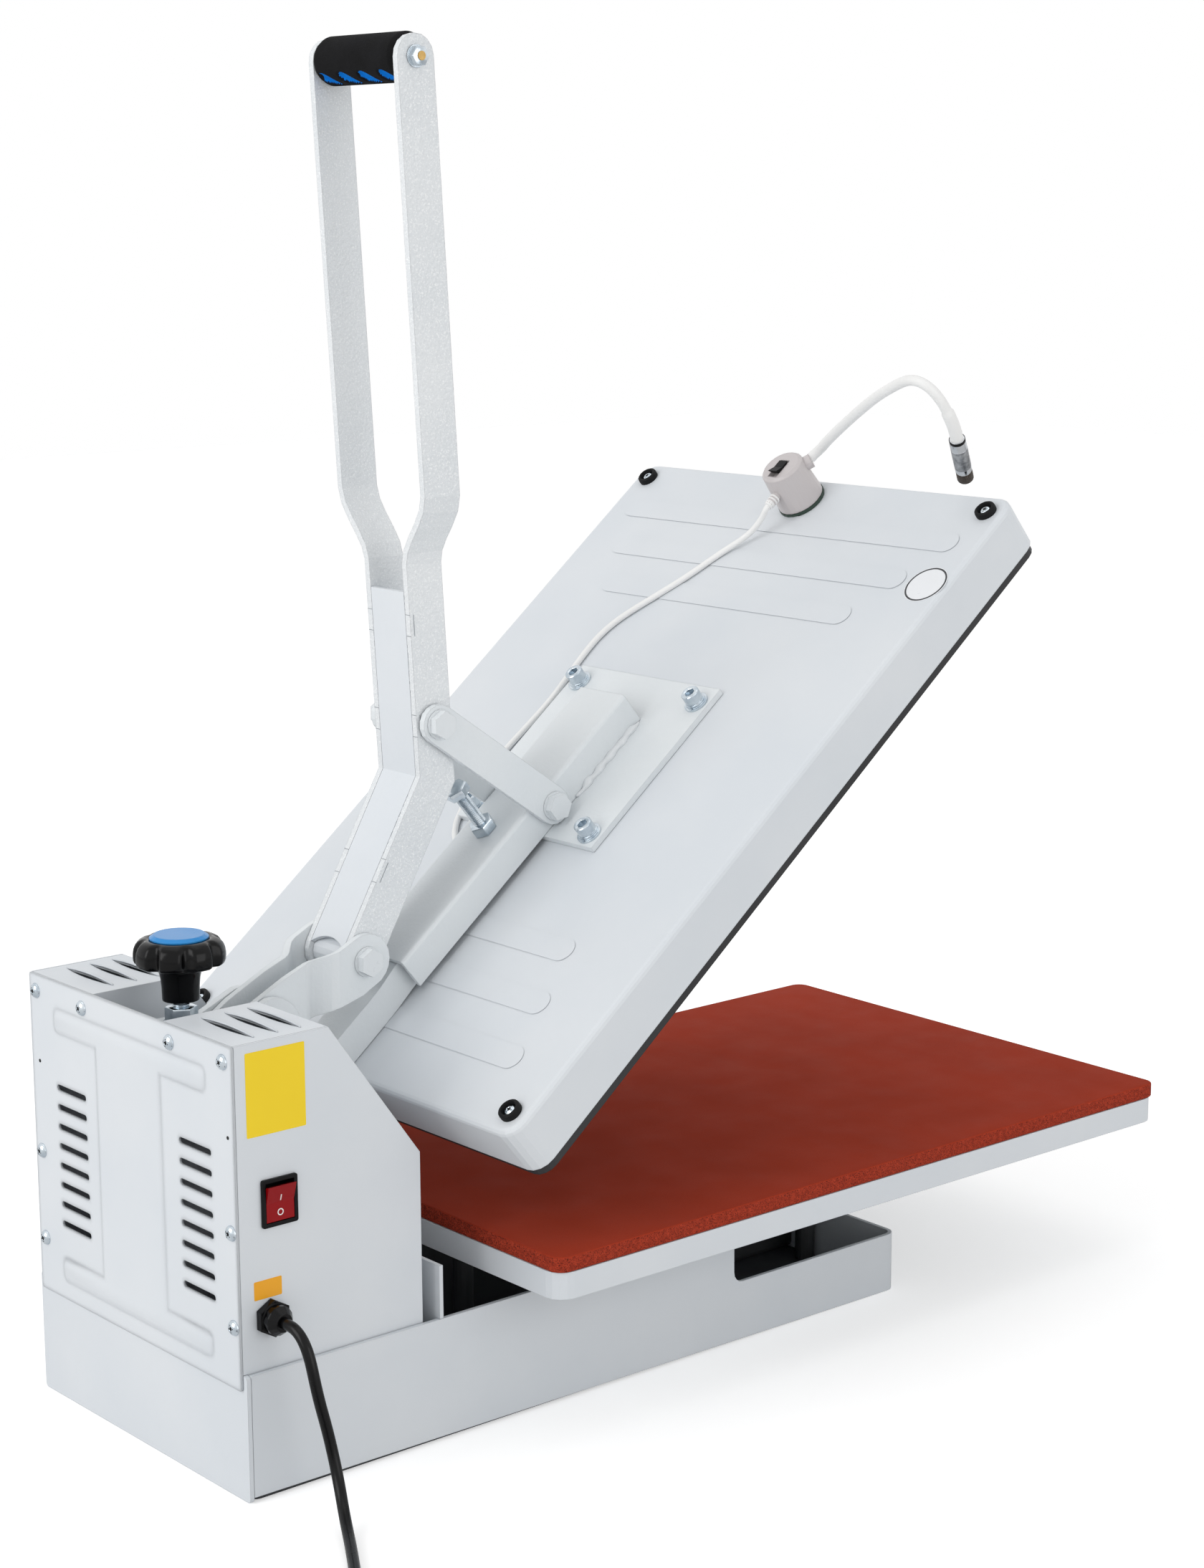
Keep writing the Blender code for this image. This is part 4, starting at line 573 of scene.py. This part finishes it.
lampLead = {
    "diameter": 0.0046,
    "fineness": (3, 8),
    "length": 0.443,
    "route": [(0, 0.5461, 0.060), (0, 0.5443, 0.060), (0, 0.5425, 0.060), (0.004, 0.538, 0.0539),
              (0.016, 0.527, 0.0449), (0.0346, 0.512, 0.0414), (0.0479, 0.483, 0.0414),
              (0.0673, 0.455, 0.0414), (0.0874, 0.426, 0.0414), (0.0895, 0.398, 0.0414),
              (0.0850, 0.367, 0.0414), (0.0815, 0.339, 0.0414), (0.0865, 0.292, 0.0414),
              (0.0860, 0.255, 0.0414), (0.0760, 0.216, 0.0414), (0.0560, 0.200, 0.0414),
              (0.0400, 0.188, 0.0414), (0.0300, 0.176, 0.0414), (0.0200, 0.160, 0.0414)],
}


def makeLampLead(lead):
    points = [onArm(*place) for place in lead["route"]]
    cable = makeCord("lamp_lead", lead, points, "neckSleeve", "arm", "lamp_cable")


makeLampLead(lampLead)
print("cords laid")

# the silicone pad on the lower platen
padSize = {"width": 0.400, "length": 0.6038, "rear": 0.1981, "low": 0.1253, "high": 0.1361, "corner": 0.010,
           "rim": 0.0012}


def makePad(s):
    work = bmesh.new()
    centre = Matrix.Translation((0, rearY - s["rear"] - s["length"] / 2, 0))
    addRounded(work, s["width"], s["length"], s["corner"], s["low"], s["high"], centre)
    rims = [edge for edge in work.edges if abs(edge.verts[0].co.z - edge.verts[1].co.z) < tiny]
    bevelled(work, [], rims, s["rim"], 3)
    for face in work.faces:
        face.normal_update()
        face.material_index = 1 if abs(face.normal.z) < 0.5 else 0
    pad = piece("silicone_pad", work, ["padFace", "padEdge"], "base", stands=["lower_pad"])


makePad(padSize)

# the foam grip, with finger hollows that show its blue core
gripSize = {"radius": 0.0162, "neck": 0.0148, "half": 0.0442, "end": 0.004, "bore": 0.0053,
            "chamfer": (0.0015, 0.0008), "rows": 160, "steps": 144, "hollows": 4, "pitch": 0.0222,
            "deep": 0.0028, "across": 0.0074, "round": math.radians(28), "centre": math.radians(-57),
            "slant": 0.0056, "steep": 2.2, "bared": 0.42}


def makeGrip(s):
    work = bmesh.new()
    matrix = turned(Matrix.Translation(gripPlace), math.pi / 2, "Y")
    inward, down = s["chamfer"]
    straight = s["half"] - s["end"]
    half = [(s["bore"], s["half"]), (s["neck"] - inward, s["half"]), (s["neck"], s["half"] - down)]
    rows = [(s["radius"], straight * (1 - 2 * row / s["rows"])) for row in range(s["rows"] + 1)]
    other = [(radius, -height) for radius, height in reversed(half)]
    addLathe(work, half + rows + other + half[:1], matrix, s["steps"])
    for vert in work.verts:
        away = vert.co - gripPlace
        radius = math.hypot(away.y, away.z)
        if radius < s["neck"]:
            continue
        angle = math.atan2(away.z, away.y) - s["centre"]
        deepest = 0.0
        for finger in range(s["hollows"]):
            middle = s["pitch"] * (finger - (s["hollows"] - 1) / 2) + s["slant"] * angle / s["round"]
            far = ((away.x - middle) / s["across"]) ** 2 + (angle / s["round"]) ** 2
            if far < 1:
                deepest = max(deepest, s["deep"] * min(1.0, s["steep"] * (1 - far)))
        share = (radius - deepest) / radius
        vert.co.y = gripPlace.y + away.y * share
        vert.co.z = gripPlace.z + away.z * share
    for face in work.faces:
        away = face.calc_center_median() - gripPlace
        hollow = math.hypot(away.y, away.z) < s["radius"] - s["deep"] * s["bared"]
        face.material_index = 1 if hollow and abs(away.x) < straight else 0
    grip = piece("foam_grip", work, ["foamSkin", "foamCore"], "lever", 60, ["grip"])


makeGrip(gripSize)

# the rod through the grip, with a nut and a brass end on either side
gripRod = {"radius": 0.0050, "seat": 0.0498, "washer": (0.0074, 0.0010), "nut": (0.0118, 0.0048),
           "brass": (0.0030, 0.0066)}


def makeGripRod(s):
    work = bmesh.new()
    addDrum(work, s["radius"], 2 * s["seat"], alongAxis(gripPlace - s["seat"] * across, across), 24)
    (washer, thick), (flats, tall), (brass, reach) = s["washer"], s["nut"], s["brass"]
    for way in (-across, across):
        base = alongAxis(gripPlace + s["seat"] * way, way)
        addDrum(work, washer, thick, base)
        addHex(work, flats, tall, raised(base, thick))
        addDrum(work, brass, reach, base, 24, 1)
    piece("grip_rod_dressed", work, ["zinc", "brass"], "lever", stands=["grip_rod"])


makeGripRod(gripRod)
print("pad and grip made")

# the rear cover, with its two pressed bars and the wide rib between them drawn with sloping sides
coverPress = {"raised": 0.0006, "draw": 0.0035, "bars": (0.2733, 0.0968)}


def makeRearCover(s):
    work = bmesh.new()
    work.from_mesh(nodes["rear_cover"].data)
    for vert in work.verts:
        if vert.co.y > rearY + s["raised"]:
            middle = min(s["bars"], key=lambda height: abs(height - vert.co.z))
            vert.co.x -= math.copysign(s["draw"], vert.co.x)
            vert.co.z -= math.copysign(s["draw"], vert.co.z - middle)
    piece("rear_cover_dressed", work, ["pressedPaint"], "base", 8, ["rear_cover"])


makeRearCover(coverPress)

# screws of the rear cover, and two small punched holes drawn as thin dark discs: painted shade where the
# holes are
rearScrews = {
    "size": 0.0052,
    "places": [(0.116, 0.289), (0.0556, 0.289), (-0.0525, 0.289), (-0.114, 0.2895), (0.116, 0.1757),
               (0.116, 0.113), (-0.1185, 0.179), (-0.1184, 0.1163)],
    "holes": [(0.1143, 0.2399), (-0.1177, 0.2412)],
    "holeSize": 0.0012,
    "holeHigh": 0.0003,
    "turn": 0.7,
}


def makeRearScrews(s):
    work = bmesh.new()
    for count, (x, z) in enumerate(s["places"]):
        addPanScrew(work, s["size"], (x, rearY, z), (0, 1, 0), s["turn"] * count, 1)
    # each hole is a near-black disc standing just off the cover, painted shade in place of an opening
    for x, z in s["holes"]:
        addDrum(work, s["holeSize"], s["holeHigh"], alongAxis((x, rearY, z), (0, 1, 0)), 16, 1)
    piece("rear_screws", work, ["zinc", "holeShade"], "base")


makeRearScrews(rearScrews)

# hoods pressed up along the slots in the column tops
hoods = {
    "length": 0.061,
    "deep": 0.0030,
    "high": 0.0024,
    "sheet": 0.0009,
    "columns": (-0.084, 0.084),
    "rows": (0.0235, 0.0415, 0.0590),
    "top": 0.3009,
    "forward": 0.0010,
    "grid": (28, 6),
    "fall": 1.6,
    "least": 0.0001,
}


def makeHoods(s):
    work = bmesh.new()
    wide, long = s["grid"]
    for column in s["columns"]:
        for row in s["rows"]:
            grid = bmesh.ops.create_grid(work, x_segments=wide, y_segments=long, size=0.5)["verts"]
            for vert in grid:
                side = vert.co.x * 2
                down = 0.5 - vert.co.y
                bow = 1 - side * side
                width = s["deep"] * math.sqrt(max(bow, s["least"]))
                vert.co = Vector((column + side * s["length"] / 2,
                                  rearY - row + s["forward"] * bow - down * width,
                                  s["top"] + s["high"] * bow * (1 - down ** s["fall"])))
    made = piece("vent_hoods", work, ["sheetPaint"], "base", 60)
    solid = made.modifiers.new("sheet", "SOLIDIFY")
    solid.thickness = s["sheet"]
    solid.offset = 0


makeHoods(hoods)

# bare stickers: square and small tag on the side panel, round one on the upper cover
stickers = {
    "side": -0.1243,
    "square": (0.0320, 0.2675, 0.0446, 0.0550),
    "tag": (0.02215, 0.13885, 0.0209, 0.0123),
    "corner": 0.0008,
    "thick": 0.00025,
    "round": (-0.180, 0.507, 0.0172),
    "ring": (0.885, 0.96),
}


def makeStickers(s):
    for name, look in (("square", "yellowLabel"), ("tag", "amberLabel")):
        distance, height, width, tall = s[name]
        work = bmesh.new()
        matrix = turned(Matrix.Translation((s["side"], rearY - distance, height)), -math.pi / 2, "Y")
        addRounded(work, tall, width, s["corner"], 0, s["thick"], matrix)
        piece("sticker_" + name, work, [look], "base")
    x, start, radius = s["round"]
    work = bmesh.new()
    matrix = armFrame(x, start, coverRise)
    addDrum(work, radius, s["thick"], matrix, 64)
    inner, outer = s["ring"]
    addRing(work, radius * inner, radius * outer, s["thick"], s["thick"] * 1.5, matrix, 64, 1)
    piece("sticker_round", work, ["whiteSticker", "inkLine"], "arm")


makeStickers(stickers)

# on and off marks of the rocker switch, whose face leans back on both sides of its middle
switchMarks = {"place": (-0.1238, rearY - 0.032, 0.195), "tilt": math.radians(-8), "middle": -0.0024,
               "fall": 0.0018, "half": 0.0122, "bar": (0.0003, 0.0007, 0.0042), "barAt": 0.0033,
               "ring": (0.0016, 0.0023, -0.0002, 0.00015), "ringAt": -0.0066}


def makeSwitchMarks(s):
    work = bmesh.new()

    def onFace(height):
        lean = math.copysign(math.atan2(s["fall"], s["half"]), -height)
        place = (s["middle"] - s["fall"] * abs(height) / s["half"], 0, height)
        return turned(shifted(turned(Matrix.Translation(s["place"]), s["tilt"], "Y"), *place), lean, "Y")

    addBlock(work, s["bar"], onFace(s["barAt"]))
    addRing(work, *s["ring"], turned(onFace(s["ringAt"]), -math.pi / 2, "Y"), 32)
    piece("switch_marks", work, ["whiteMark"], "switch_button")


makeSwitchMarks(switchMarks)
print("rear cover dressed")

# screws in rubber rings at the corners of the upper cover
cornerScrews = {"x": 0.18315, "starts": (0.0169, 0.5816), "rise": coverRise, "ring": 0.0080,
                "bore": 0.0052, "high": 0.0048, "screw": 0.0050, "seat": 0.0008, "turns": (9, 3)}


def armSpots(s):
    return [(x, start, armFrame(x, start, s["rise"])) for x in (-s["x"], s["x"]) for start in s["starts"]]


def makeCornerScrews(s):
    work = bmesh.new()
    r, b, h = s["ring"], s["bore"], s["high"]
    profile = [(b, 0), (b, h * 0.8), (b + 0.0005, h), (r - 0.0012, h), (r - 0.0003, h * 0.85),
               (r, h * 0.55), (r * 0.985, 0), (b, 0)]
    spin, more = s["turns"]
    for x, start, matrix in armSpots(s):
        addLathe(work, profile, matrix, 40, 1)
        addPanScrew(work, s["screw"], raised(matrix, s["seat"]).translation,
                    matrix.to_3x3() @ upward, spin * x + more * start, 2)
    # the screw slots take the third finish, painted shade in place of their recesses
    piece("corner_screws", work, ["zinc", "rubber", "holeShade"], "arm")


makeCornerScrews(cornerScrews)

plateScrews = {"x": 0.065, "starts": (0.2345, 0.364), "rise": 0.0436,
               "head": {"washers": [(0.0092, 0.0016), (0.0075, 0.0018)], "radius": 0.0068,
                        "height": 0.0080, "socket": 0.0038}}


def makePlateScrews(s):
    work = bmesh.new()
    for x, start, matrix in armSpots(s):
        addCapScrew(work, s["head"], alongAxis(matrix.translation, matrix.to_3x3() @ upward))
    piece("plate_screws", work, ["zinc"], "arm")


makePlateScrews(plateScrews)

# long shallow ribs pressed up in the upper cover, each as its start and half its length
coverRibs = {
    "rise": coverRise,
    "high": 0.00045,
    "radius": 0.0095,
    "lean": 0.0072,
    "steps": [(0.22, 0.08), (0.20, 0.22), (0.20, 0.30), (0.19, 0.25), (0.19, 0.15)],
    "front": [(0.5485, 0.179), (0.5080, 0.158), (0.4680, 0.134)],
    "rear": [(0.1420, 0.128), (0.0980, 0.143), (0.0540, 0.157)],
}


def makeCoverRibs(s):
    work = bmesh.new()
    for start, half in s["front"] + s["rear"]:
        verts = bmesh.ops.create_circle(work, cap_ends=True, segments=40, radius=s["radius"])["verts"]
        face = facesOf(verts)[0]
        for vert in verts:
            vert.co.x += math.copysign(half - s["radius"], vert.co.x)
            vert.co.y -= start
        for drawn, lift in s["steps"]:
            bmesh.ops.inset_region(work, faces=[face], thickness=s["lean"] * drawn, depth=0)
            bmesh.ops.translate(work, vec=(0, 0, s["high"] * lift), verts=face.verts)
    bmesh.ops.transform(work, matrix=armFrame(0, 0, s["rise"]), verts=work.verts)
    piece("cover_ribs", work, ["sheetPaint"], "arm", 50)


makeCoverRibs(coverRibs)

# weld beads, as rippled runs of overlapping drops: two ends, radius and seed
beads = {
    "lines": {
        "channelNear": [(-0.0262, 0.262, 0.0446), (-0.0262, 0.338, 0.0446), 0.0038, 1],
        "channelFar": [(0.0262, 0.262, 0.0446), (0.0262, 0.338, 0.0446), 0.0038, 2],
        "channelEnd": [(-0.022, 0.3420, 0.0446), (0.022, 0.3420, 0.0446), 0.0024, 3],
    },
    "waves": (31, 23, 27),
    "wander": 0.12,
    "ripple": (0.74, 0.18, 0.10),
    "drop": 7,
    "drift": 0.83,
    "ends": (6, 0.25),
    "sides": 12,
}


def makeBeads(s):
    base, ripple, uneven = s["ripple"]
    fall, least = s["ends"]
    for name, (first, last, radius, seed) in s["lines"].items():
        first, last = onArm(*first), onArm(*last)
        count = max(6, int((last - first).length / (radius * 0.5)))
        places, radii = [], []
        for step in range(count + 1):
            share = step / count
            sway = Vector([math.sin(seed * (n + 1) + wave * share) for n, wave in enumerate(s["waves"])])
            places.append(first.lerp(last, share) + sway * radius * s["wander"])
            swell = (base + ripple * math.cos(2 * math.pi * step / s["drop"])
                     + uneven * math.sin(seed + step * s["drift"]))
            radii.append(radius * swell * min(1.0, fall * share + least, fall * (1 - share) + least))
        work = bmesh.new()
        addRun(work, places, radii, s["sides"])
        made = piece("weld_" + name, work, ["weldPaint"], "arm", 80)
        smooth = made.modifiers.new("soft", "SUBSURF")
        smooth.levels = 1
        smooth.render_levels = 1


makeBeads(beads)

# seams where the web's tabs sit in notches of the lever bars
webSeams = {
    "foot": (-0.1595, 0.3156),
    "knee": (-0.2235, 0.4280),
    "top": (-0.2163, 0.5552),
    "inner": 0.0191,
    "outer": 0.0241,
    "sheet": 0.0030,
    "line": 0.0004,
    "thick": 0.0003,
    "tabs": [(0.3600, 0.3747), (0.4556, 0.4706), (0.5250, 0.5396)],
    "runs": [(0.5410, 0.5535, 3), (0.4835, 0.5210, 6), (0.3755, 0.4180, 7)],
    "dash": (0.55, 0.3, 5, 0.7),
}


def seamFrame(s, side, x, height):  # on the lever's rear edge: X across, Y off the edge, Z along it
    low, high = (s["foot"], s["knee"]) if height < s["knee"][1] else (s["knee"], s["top"])
    share = (height - low[1]) / (high[1] - low[1])
    along = Vector((0, high[0] - low[0], high[1] - low[1])).normalized()
    place = Vector((side * x, rearY + low[0] + share * (high[0] - low[0]), height))
    turn = Matrix((across, Vector((0, along.z, -along.y)), along)).transposed().to_4x4()
    return Matrix.Translation(place) @ turn


def makeWebSeams(s):
    work = bmesh.new()
    middle = (s["inner"] + s["outer"]) / 2
    for side in (-1, 1):
        for low, high in s["tabs"]:
            for height in (low, high):
                addBlock(work, (s["outer"] - s["inner"], s["thick"], s["line"]),
                         seamFrame(s, side, middle, height))
            face = seamFrame(s, side, s["outer"], (low + high) / 2)
            addBlock(work, (s["thick"], s["line"], high - low), shifted(face, 0, -s["sheet"], 0))
    usual, uneven, wave, thin = s["dash"]
    for low, high, count in s["runs"]:  # gaps in the paint along the near bar
        step = (high - low) / count
        for dash in range(count):
            size = (s["line"] * thin, s["thick"], step * (usual + uneven * math.sin(wave * dash - 1)))
            addBlock(work, size, seamFrame(s, -1, s["inner"], low + step * (dash + 0.5)))
    piece("web_seams", work, ["seamLine"], "lever")


makeWebSeams(webSeams)

# threaded screws: thread as radius, pitch, low and high, discs as radius, low and high, and hexagons
# as width, low, high and turn
stopBolt = {"name": "stop_bolt", "body": "arm", "base": armFrame(0, 0.2015, 0),
            "thread": (0.0049, 0.0015, 0.050, 0.106), "discs": [],
            "hexes": [(0.0163, 0.0693, 0.0773, 0), (0.0163, 0.106, 0.1123, 0.4)]}
adjuster = {"name": "adjusting_screw", "body": "knob", "base": Matrix.Translation((0, rearY - 0.0425, 0)),
            "thread": (0.0059, 0.00175, 0.234, 0.3296), "discs": [(0.0126, 0.2821, 0.2841)],
            "hexes": [(0.0190, 0.2841, 0.2946, 0.5)]}


def makeScrew(s):
    work = bmesh.new()
    addThread(work, *s["thread"], s["base"])
    for radius, low, high in s["discs"]:
        addDrum(work, radius, high - low, raised(s["base"], low))
    for width, low, high, turn in s["hexes"]:
        addHex(work, width, high - low, turned(raised(s["base"], low), turn, "Z"))
    piece(s["name"] + "_dressed", work, ["zinc"], s["body"], stands=[s["name"]])


makeScrew(stopBolt)
makeScrew(adjuster)
print("screws and welds made")

# the knob: a lobed head with a domed top on a waisted neck
knobHead = {
    "distance": 0.0425,
    "profile": [(0, 0.299), (0.0122, 0.299), (0.0124, 0.3000), (0.0126, 0.3080), (0.0132, 0.3140),
                (0.0144, 0.3190), (0.0172, 0.3222), (0.0240, 0.3228), (0.0280, 0.3232), (0.0296, 0.3243),
                (0.0303, 0.3261), (0.0305, 0.3285), (0.0304, 0.3310), (0.0299, 0.3340), (0.0288, 0.3366),
                (0.0270, 0.3388), (0.0246, 0.3402), (0.0222, 0.3407), (0.0205, 0.3406), (0.0200, 0.3402),
                (0, 0.3402)],
    "steps": 160,
    "lobes": 8,
    "phase": math.radians(22.5),
    "half": 0.20,
    "deep": 0.0044,
    "from": 0.0165,
    "to": 0.0300,
}


def makeKnob(s):
    work = bmesh.new()
    middle = rearY - s["distance"]
    for vert in addLathe(work, s["profile"], Matrix.Translation((0, middle, 0)), s["steps"]):
        x, y = vert.co.x, vert.co.y - middle
        radius = math.hypot(x, y)
        if radius < s["from"]:
            continue
        turn = (math.atan2(y, x) - s["phase"]) * s["lobes"] / (2 * math.pi)
        away = abs(turn - round(turn)) * 2 * math.pi / s["lobes"]
        share = max(0.0, 1 - (away / s["half"]) ** 2) ** 2
        grown = min(1.0, (radius - s["from"]) / (s["to"] - s["from"]))
        cut = 1 - s["deep"] * share * grown * grown / radius
        vert.co.x, vert.co.y = x * cut, middle + y * cut
    piece("knob_dressed", work, ["blackGloss"], "knob", 60, ["knob"])


makeKnob(knobHead)

# the lamp's neck, led as in the photo, with a thicker sleeve before the pointer
neckPath = {
    "foot": [(-0.0125, 0.5925, 0.0668), (-0.0150, 0.595, 0.0685)],
    "start": 0.598,
    "route": [(-0.0225, 0.0727), (-0.0363, 0.0821), (-0.0556, 0.0944), (-0.0745, 0.1060),
              (-0.0913, 0.1160), (-0.1075, 0.1253), (-0.1227, 0.1333), (-0.1371, 0.1400), (-0.1478, 0.1446),
              (-0.1565, 0.1475), (-0.1632, 0.1482), (-0.1690, 0.1468), (-0.1737, 0.1434), (-0.1768, 0.1385),
              (-0.1786, 0.1325), (-0.1793, 0.1260), (-0.1792, 0.1190), (-0.1785, 0.1120), (-0.1772, 0.1050),
              (-0.1755, 0.0990), (-0.1738, 0.0942)],
    "radius": 0.0038,
    "sleeve": 0.0047,
    "sleeveFrom": 18,
    "rings": 4,
    "sides": 20,
}


def neckPoints(s):  # a smooth line through the spots
    spots = [onArm(*place) for place in s["foot"]] + [onArm(x, s["start"], rise) for x, rise in s["route"]]
    points = []
    for count in range(len(spots) - 1):
        before, here = spots[max(count - 1, 0)], spots[count]
        there, after = spots[count + 1], spots[min(count + 2, len(spots) - 1)]
        for ring in range(s["rings"]):
            t = ring / s["rings"]
            points.append(0.5 * (2 * here + (there - before) * t
                                 + (2 * before - 5 * here + 4 * there - after) * t ** 2
                                 + (3 * here - before - 3 * there + after) * t ** 3))
    return points + [spots[-1]]


def makeNeck(s):
    work = bmesh.new()
    points = neckPoints(s)
    thick = s["sleeveFrom"] * s["rings"]
    radii = [s["radius"] if count < thick else s["sleeve"] for count in range(len(points))]
    addRun(work, points, radii, s["sides"])
    piece("neck_tube", work, ["neckSleeve"], "arm", 50, ["gooseneck"])
    return alongAxis(points[-1], points[-1] - points[-1 - s["rings"]])


neckEnd = makeNeck(neckPath)

# the ribbed relief of the lamp's cable
cableRelief = {"place": (0, 0.5561, 0.060), "ribs": 3, "radius": 0.0042, "smaller": 0.0002, "root": 0.86,
               "start": 0.001, "pitch": 0.0027, "rib": (0.0004, 0.0011, 0.0015),
               "tip": [(0, -0.0012), (0.0038, -0.0012), (0.0030, 0.0012), (0, 0.0012)], "steps": 24}


def makeCableRelief(s):
    work = bmesh.new()
    matrix = alongAxis(onArm(*s["place"]), armTurn.to_3x3() @ Vector((0, 1, 0)))
    base = raised(matrix, s["start"])
    first, second, top = s["rib"]
    for rib in range(s["ribs"]):
        r = s["radius"] - s["smaller"] * rib
        root = r * s["root"]
        addLathe(work, [(0, 0), (root, 0), (r, first), (r, second), (root, top), (0, top)],
                 raised(base, rib * s["pitch"]), s["steps"])
    addLathe(work, s["tip"], raised(base, s["ribs"] * s["pitch"]), s["steps"])
    piece("cable_relief", work, ["neckSleeve"], "arm")


makeCableRelief(cableRelief)

# the pointer at the neck's end, in shares of its radius, with the band in steps off it
laserHead = {
    "radius": 0.0060,
    "tube": [(0, 0), (0.86, 0), (0.94, 0.0006), (0.94, 0.0030), (1, 0.0036), (1, 0.0325), (0.93, 0.0329),
             (0.93, 0.0335), (0, 0.0335)],
    "cap": [(0, 0.0335), (0.97, 0.0335), (1, 0.0340), (1, 0.0414), (0.93, 0.0420), (0.5, 0.0420),
            (0.4, 0.0410), (0, 0.0410)],
    "teeth": 30,
    "tooth": 0.0003,
    "toothFrom": 0.96,
    "band": (-0.0002, 0.0001, 0.0100, 0.0285),
    "ring": (0.90, 0.98, 0.0002, 0.0026),
    "steps": 40,
}


def makeLaserHead(s):
    work = bmesh.new()
    r, steps = s["radius"], s["steps"]
    addLathe(work, [(r * share, height) for share, height in s["tube"]], neckEnd, steps)
    cap = addLathe(work, [(r * share, height) for share, height in s["cap"]], neckEnd, 2 * s["teeth"], 1)
    back = neckEnd.inverted()
    for vert in cap:
        x, y, z = back @ vert.co
        aside = math.hypot(x, y)
        if aside > r * s["toothFrom"] and round(math.atan2(y, x) / math.pi * s["teeth"]) % 2:
            share = 1 - s["tooth"] / aside
            vert.co = neckEnd @ Vector((x * share, y * share, z))
    inner, outer, low, high = s["band"]
    addRing(work, r + inner, r + outer, low, high, neckEnd, steps, 2)
    inner, outer, low, high = s["ring"]
    addRing(work, r * inner, r * outer, low, high, neckEnd, steps, 3)
    piece("pointer_head", work, ["chrome", "bronzeCap", "dullBand", "blackGloss"], "arm",
          stands=["laser_head"])


makeLaserHead(laserHead)

# display and keys of the controller on the front slope
panel = {"place": (0.0838, rearY - 0.1082, 0.2519), "lean": math.atan2(0.0978, 0.0704), "face": 0.0028,
         "window": (0.046, 0.022, 0.002, 0, 0.0006), "windowAt": 0.022, "digits": 3,
         "digit": (0.0075, 0.0135), "bar": 0.0012, "barHigh": 0.0002, "pitch": 0.0125,
         "keys": [(-0.017, -0.006), (0.017, -0.006), (-0.017, -0.028), (0.017, -0.028)], "key": 0.0085,
         "keyProfile": [(0, 0.0016), (0.7, 0.0015), (0.93, 0.0010), (1, 0.0002), (1, 0), (0, 0)]}


def makePanel(s):
    base = raised(turned(Matrix.Translation(s["place"]), s["lean"], "X"), s["face"])
    window = shifted(base, 0, s["windowAt"], 0)
    work = bmesh.new()
    addRounded(work, *s["window"], window)
    (wide, tall), bar = s["digit"], s["bar"]
    bars = [(0, tall * share, wide, bar) for share in (-0.5, 0, 0.5)]
    bars += [(wide * side, tall * share, bar, tall / 2 - bar)
             for side in (-0.5, 0.5) for share in (-0.25, 0.25)]
    for count in range(s["digits"]):
        middle = (count - (s["digits"] - 1) / 2) * s["pitch"]
        for x, y, width, high in bars:
            addBlock(work, (width, high, s["barHigh"]), shifted(window, middle + x, y, s["window"][-1]), 1)
    piece("display", work, ["displayGlass", "redSegment"], "base")
    work = bmesh.new()
    profile = [(s["key"] * share, height) for share, height in s["keyProfile"]]
    for count, (x, y) in enumerate(s["keys"]):
        addLathe(work, profile, shifted(base, x, y, 0), 40, 1 if count == 0 else 0)
    piece("keys", work, ["greyKey", "greenKey"], "base")


makePanel(panel)
print("lamp and controller dressed")

# the room: pale floor and soft light
room = {
    "floor": 14.0,
    "below": 0.0002,
    "floorColour": (0.8, 0.8, 0.8, 1),
    "floorRough": 0.9,
    "floorGlow": 0.42,
    "white": (1, 1, 1, 1),
    "worldLight": 0.68,
    "lamps": [
        ("key", (0.4, 3.4, 2.0), 2.6, 58),
        ("side", (-3.2, -0.6, 0.9), 2.4, 24),
        ("top", (0.2, -0.2, 3.6), 2.4, 8),
    ],
    "aim": (0, 0, 0.35),
}


def makeFloor(s):
    work = bmesh.new()
    bmesh.ops.create_grid(work, x_segments=1, y_segments=1, size=s["floor"] / 2)
    mesh = bpy.data.meshes.new("floor")
    work.to_mesh(mesh)
    work.free()
    floor = linked("floor", mesh)
    floor.location = (0, 0, -s["below"])
    material, tree, shader = newTree("floorPaint")
    seen = tree.nodes.new("ShaderNodeLightPath").outputs["Is Camera Ray"]
    for socket, value in (("Base Color", s["floorColour"]), ("Roughness", s["floorRough"]),
                          ("Emission Color", s["white"]),
                          ("Emission Strength", sums(tree, "MULTIPLY", seen, s["floorGlow"]))):
        feed(tree, value, shader.inputs[socket])
    mesh.materials.append(material)


def makeRoom(s):
    makeFloor(s)
    scene.world = bpy.data.worlds.new("world")
    scene.world.use_nodes = True
    tree = scene.world.node_tree
    path = tree.nodes.new("ShaderNodeLightPath").outputs
    seen = sums(tree, "MAXIMUM", path["Is Camera Ray"], path["Is Glossy Ray"])
    seen = sums(tree, "MAXIMUM", seen, path["Is Transmission Ray"])
    back = tree.nodes["Background"]
    feed(tree, s["white"], back.inputs[0])
    feed(tree, between(tree, seen, 0, 1, s["worldLight"], 1.0), back.inputs[1])
    for name, place, size, power in s["lamps"]:
        data = bpy.data.lights.new(name, "AREA")
        data.shape = "SQUARE"
        data.size = size
        data.energy = power
        linked(name, data).matrix_world = alongAxis(place, Vector(place) - Vector(s["aim"]))


makeRoom(room)
print("room lit")
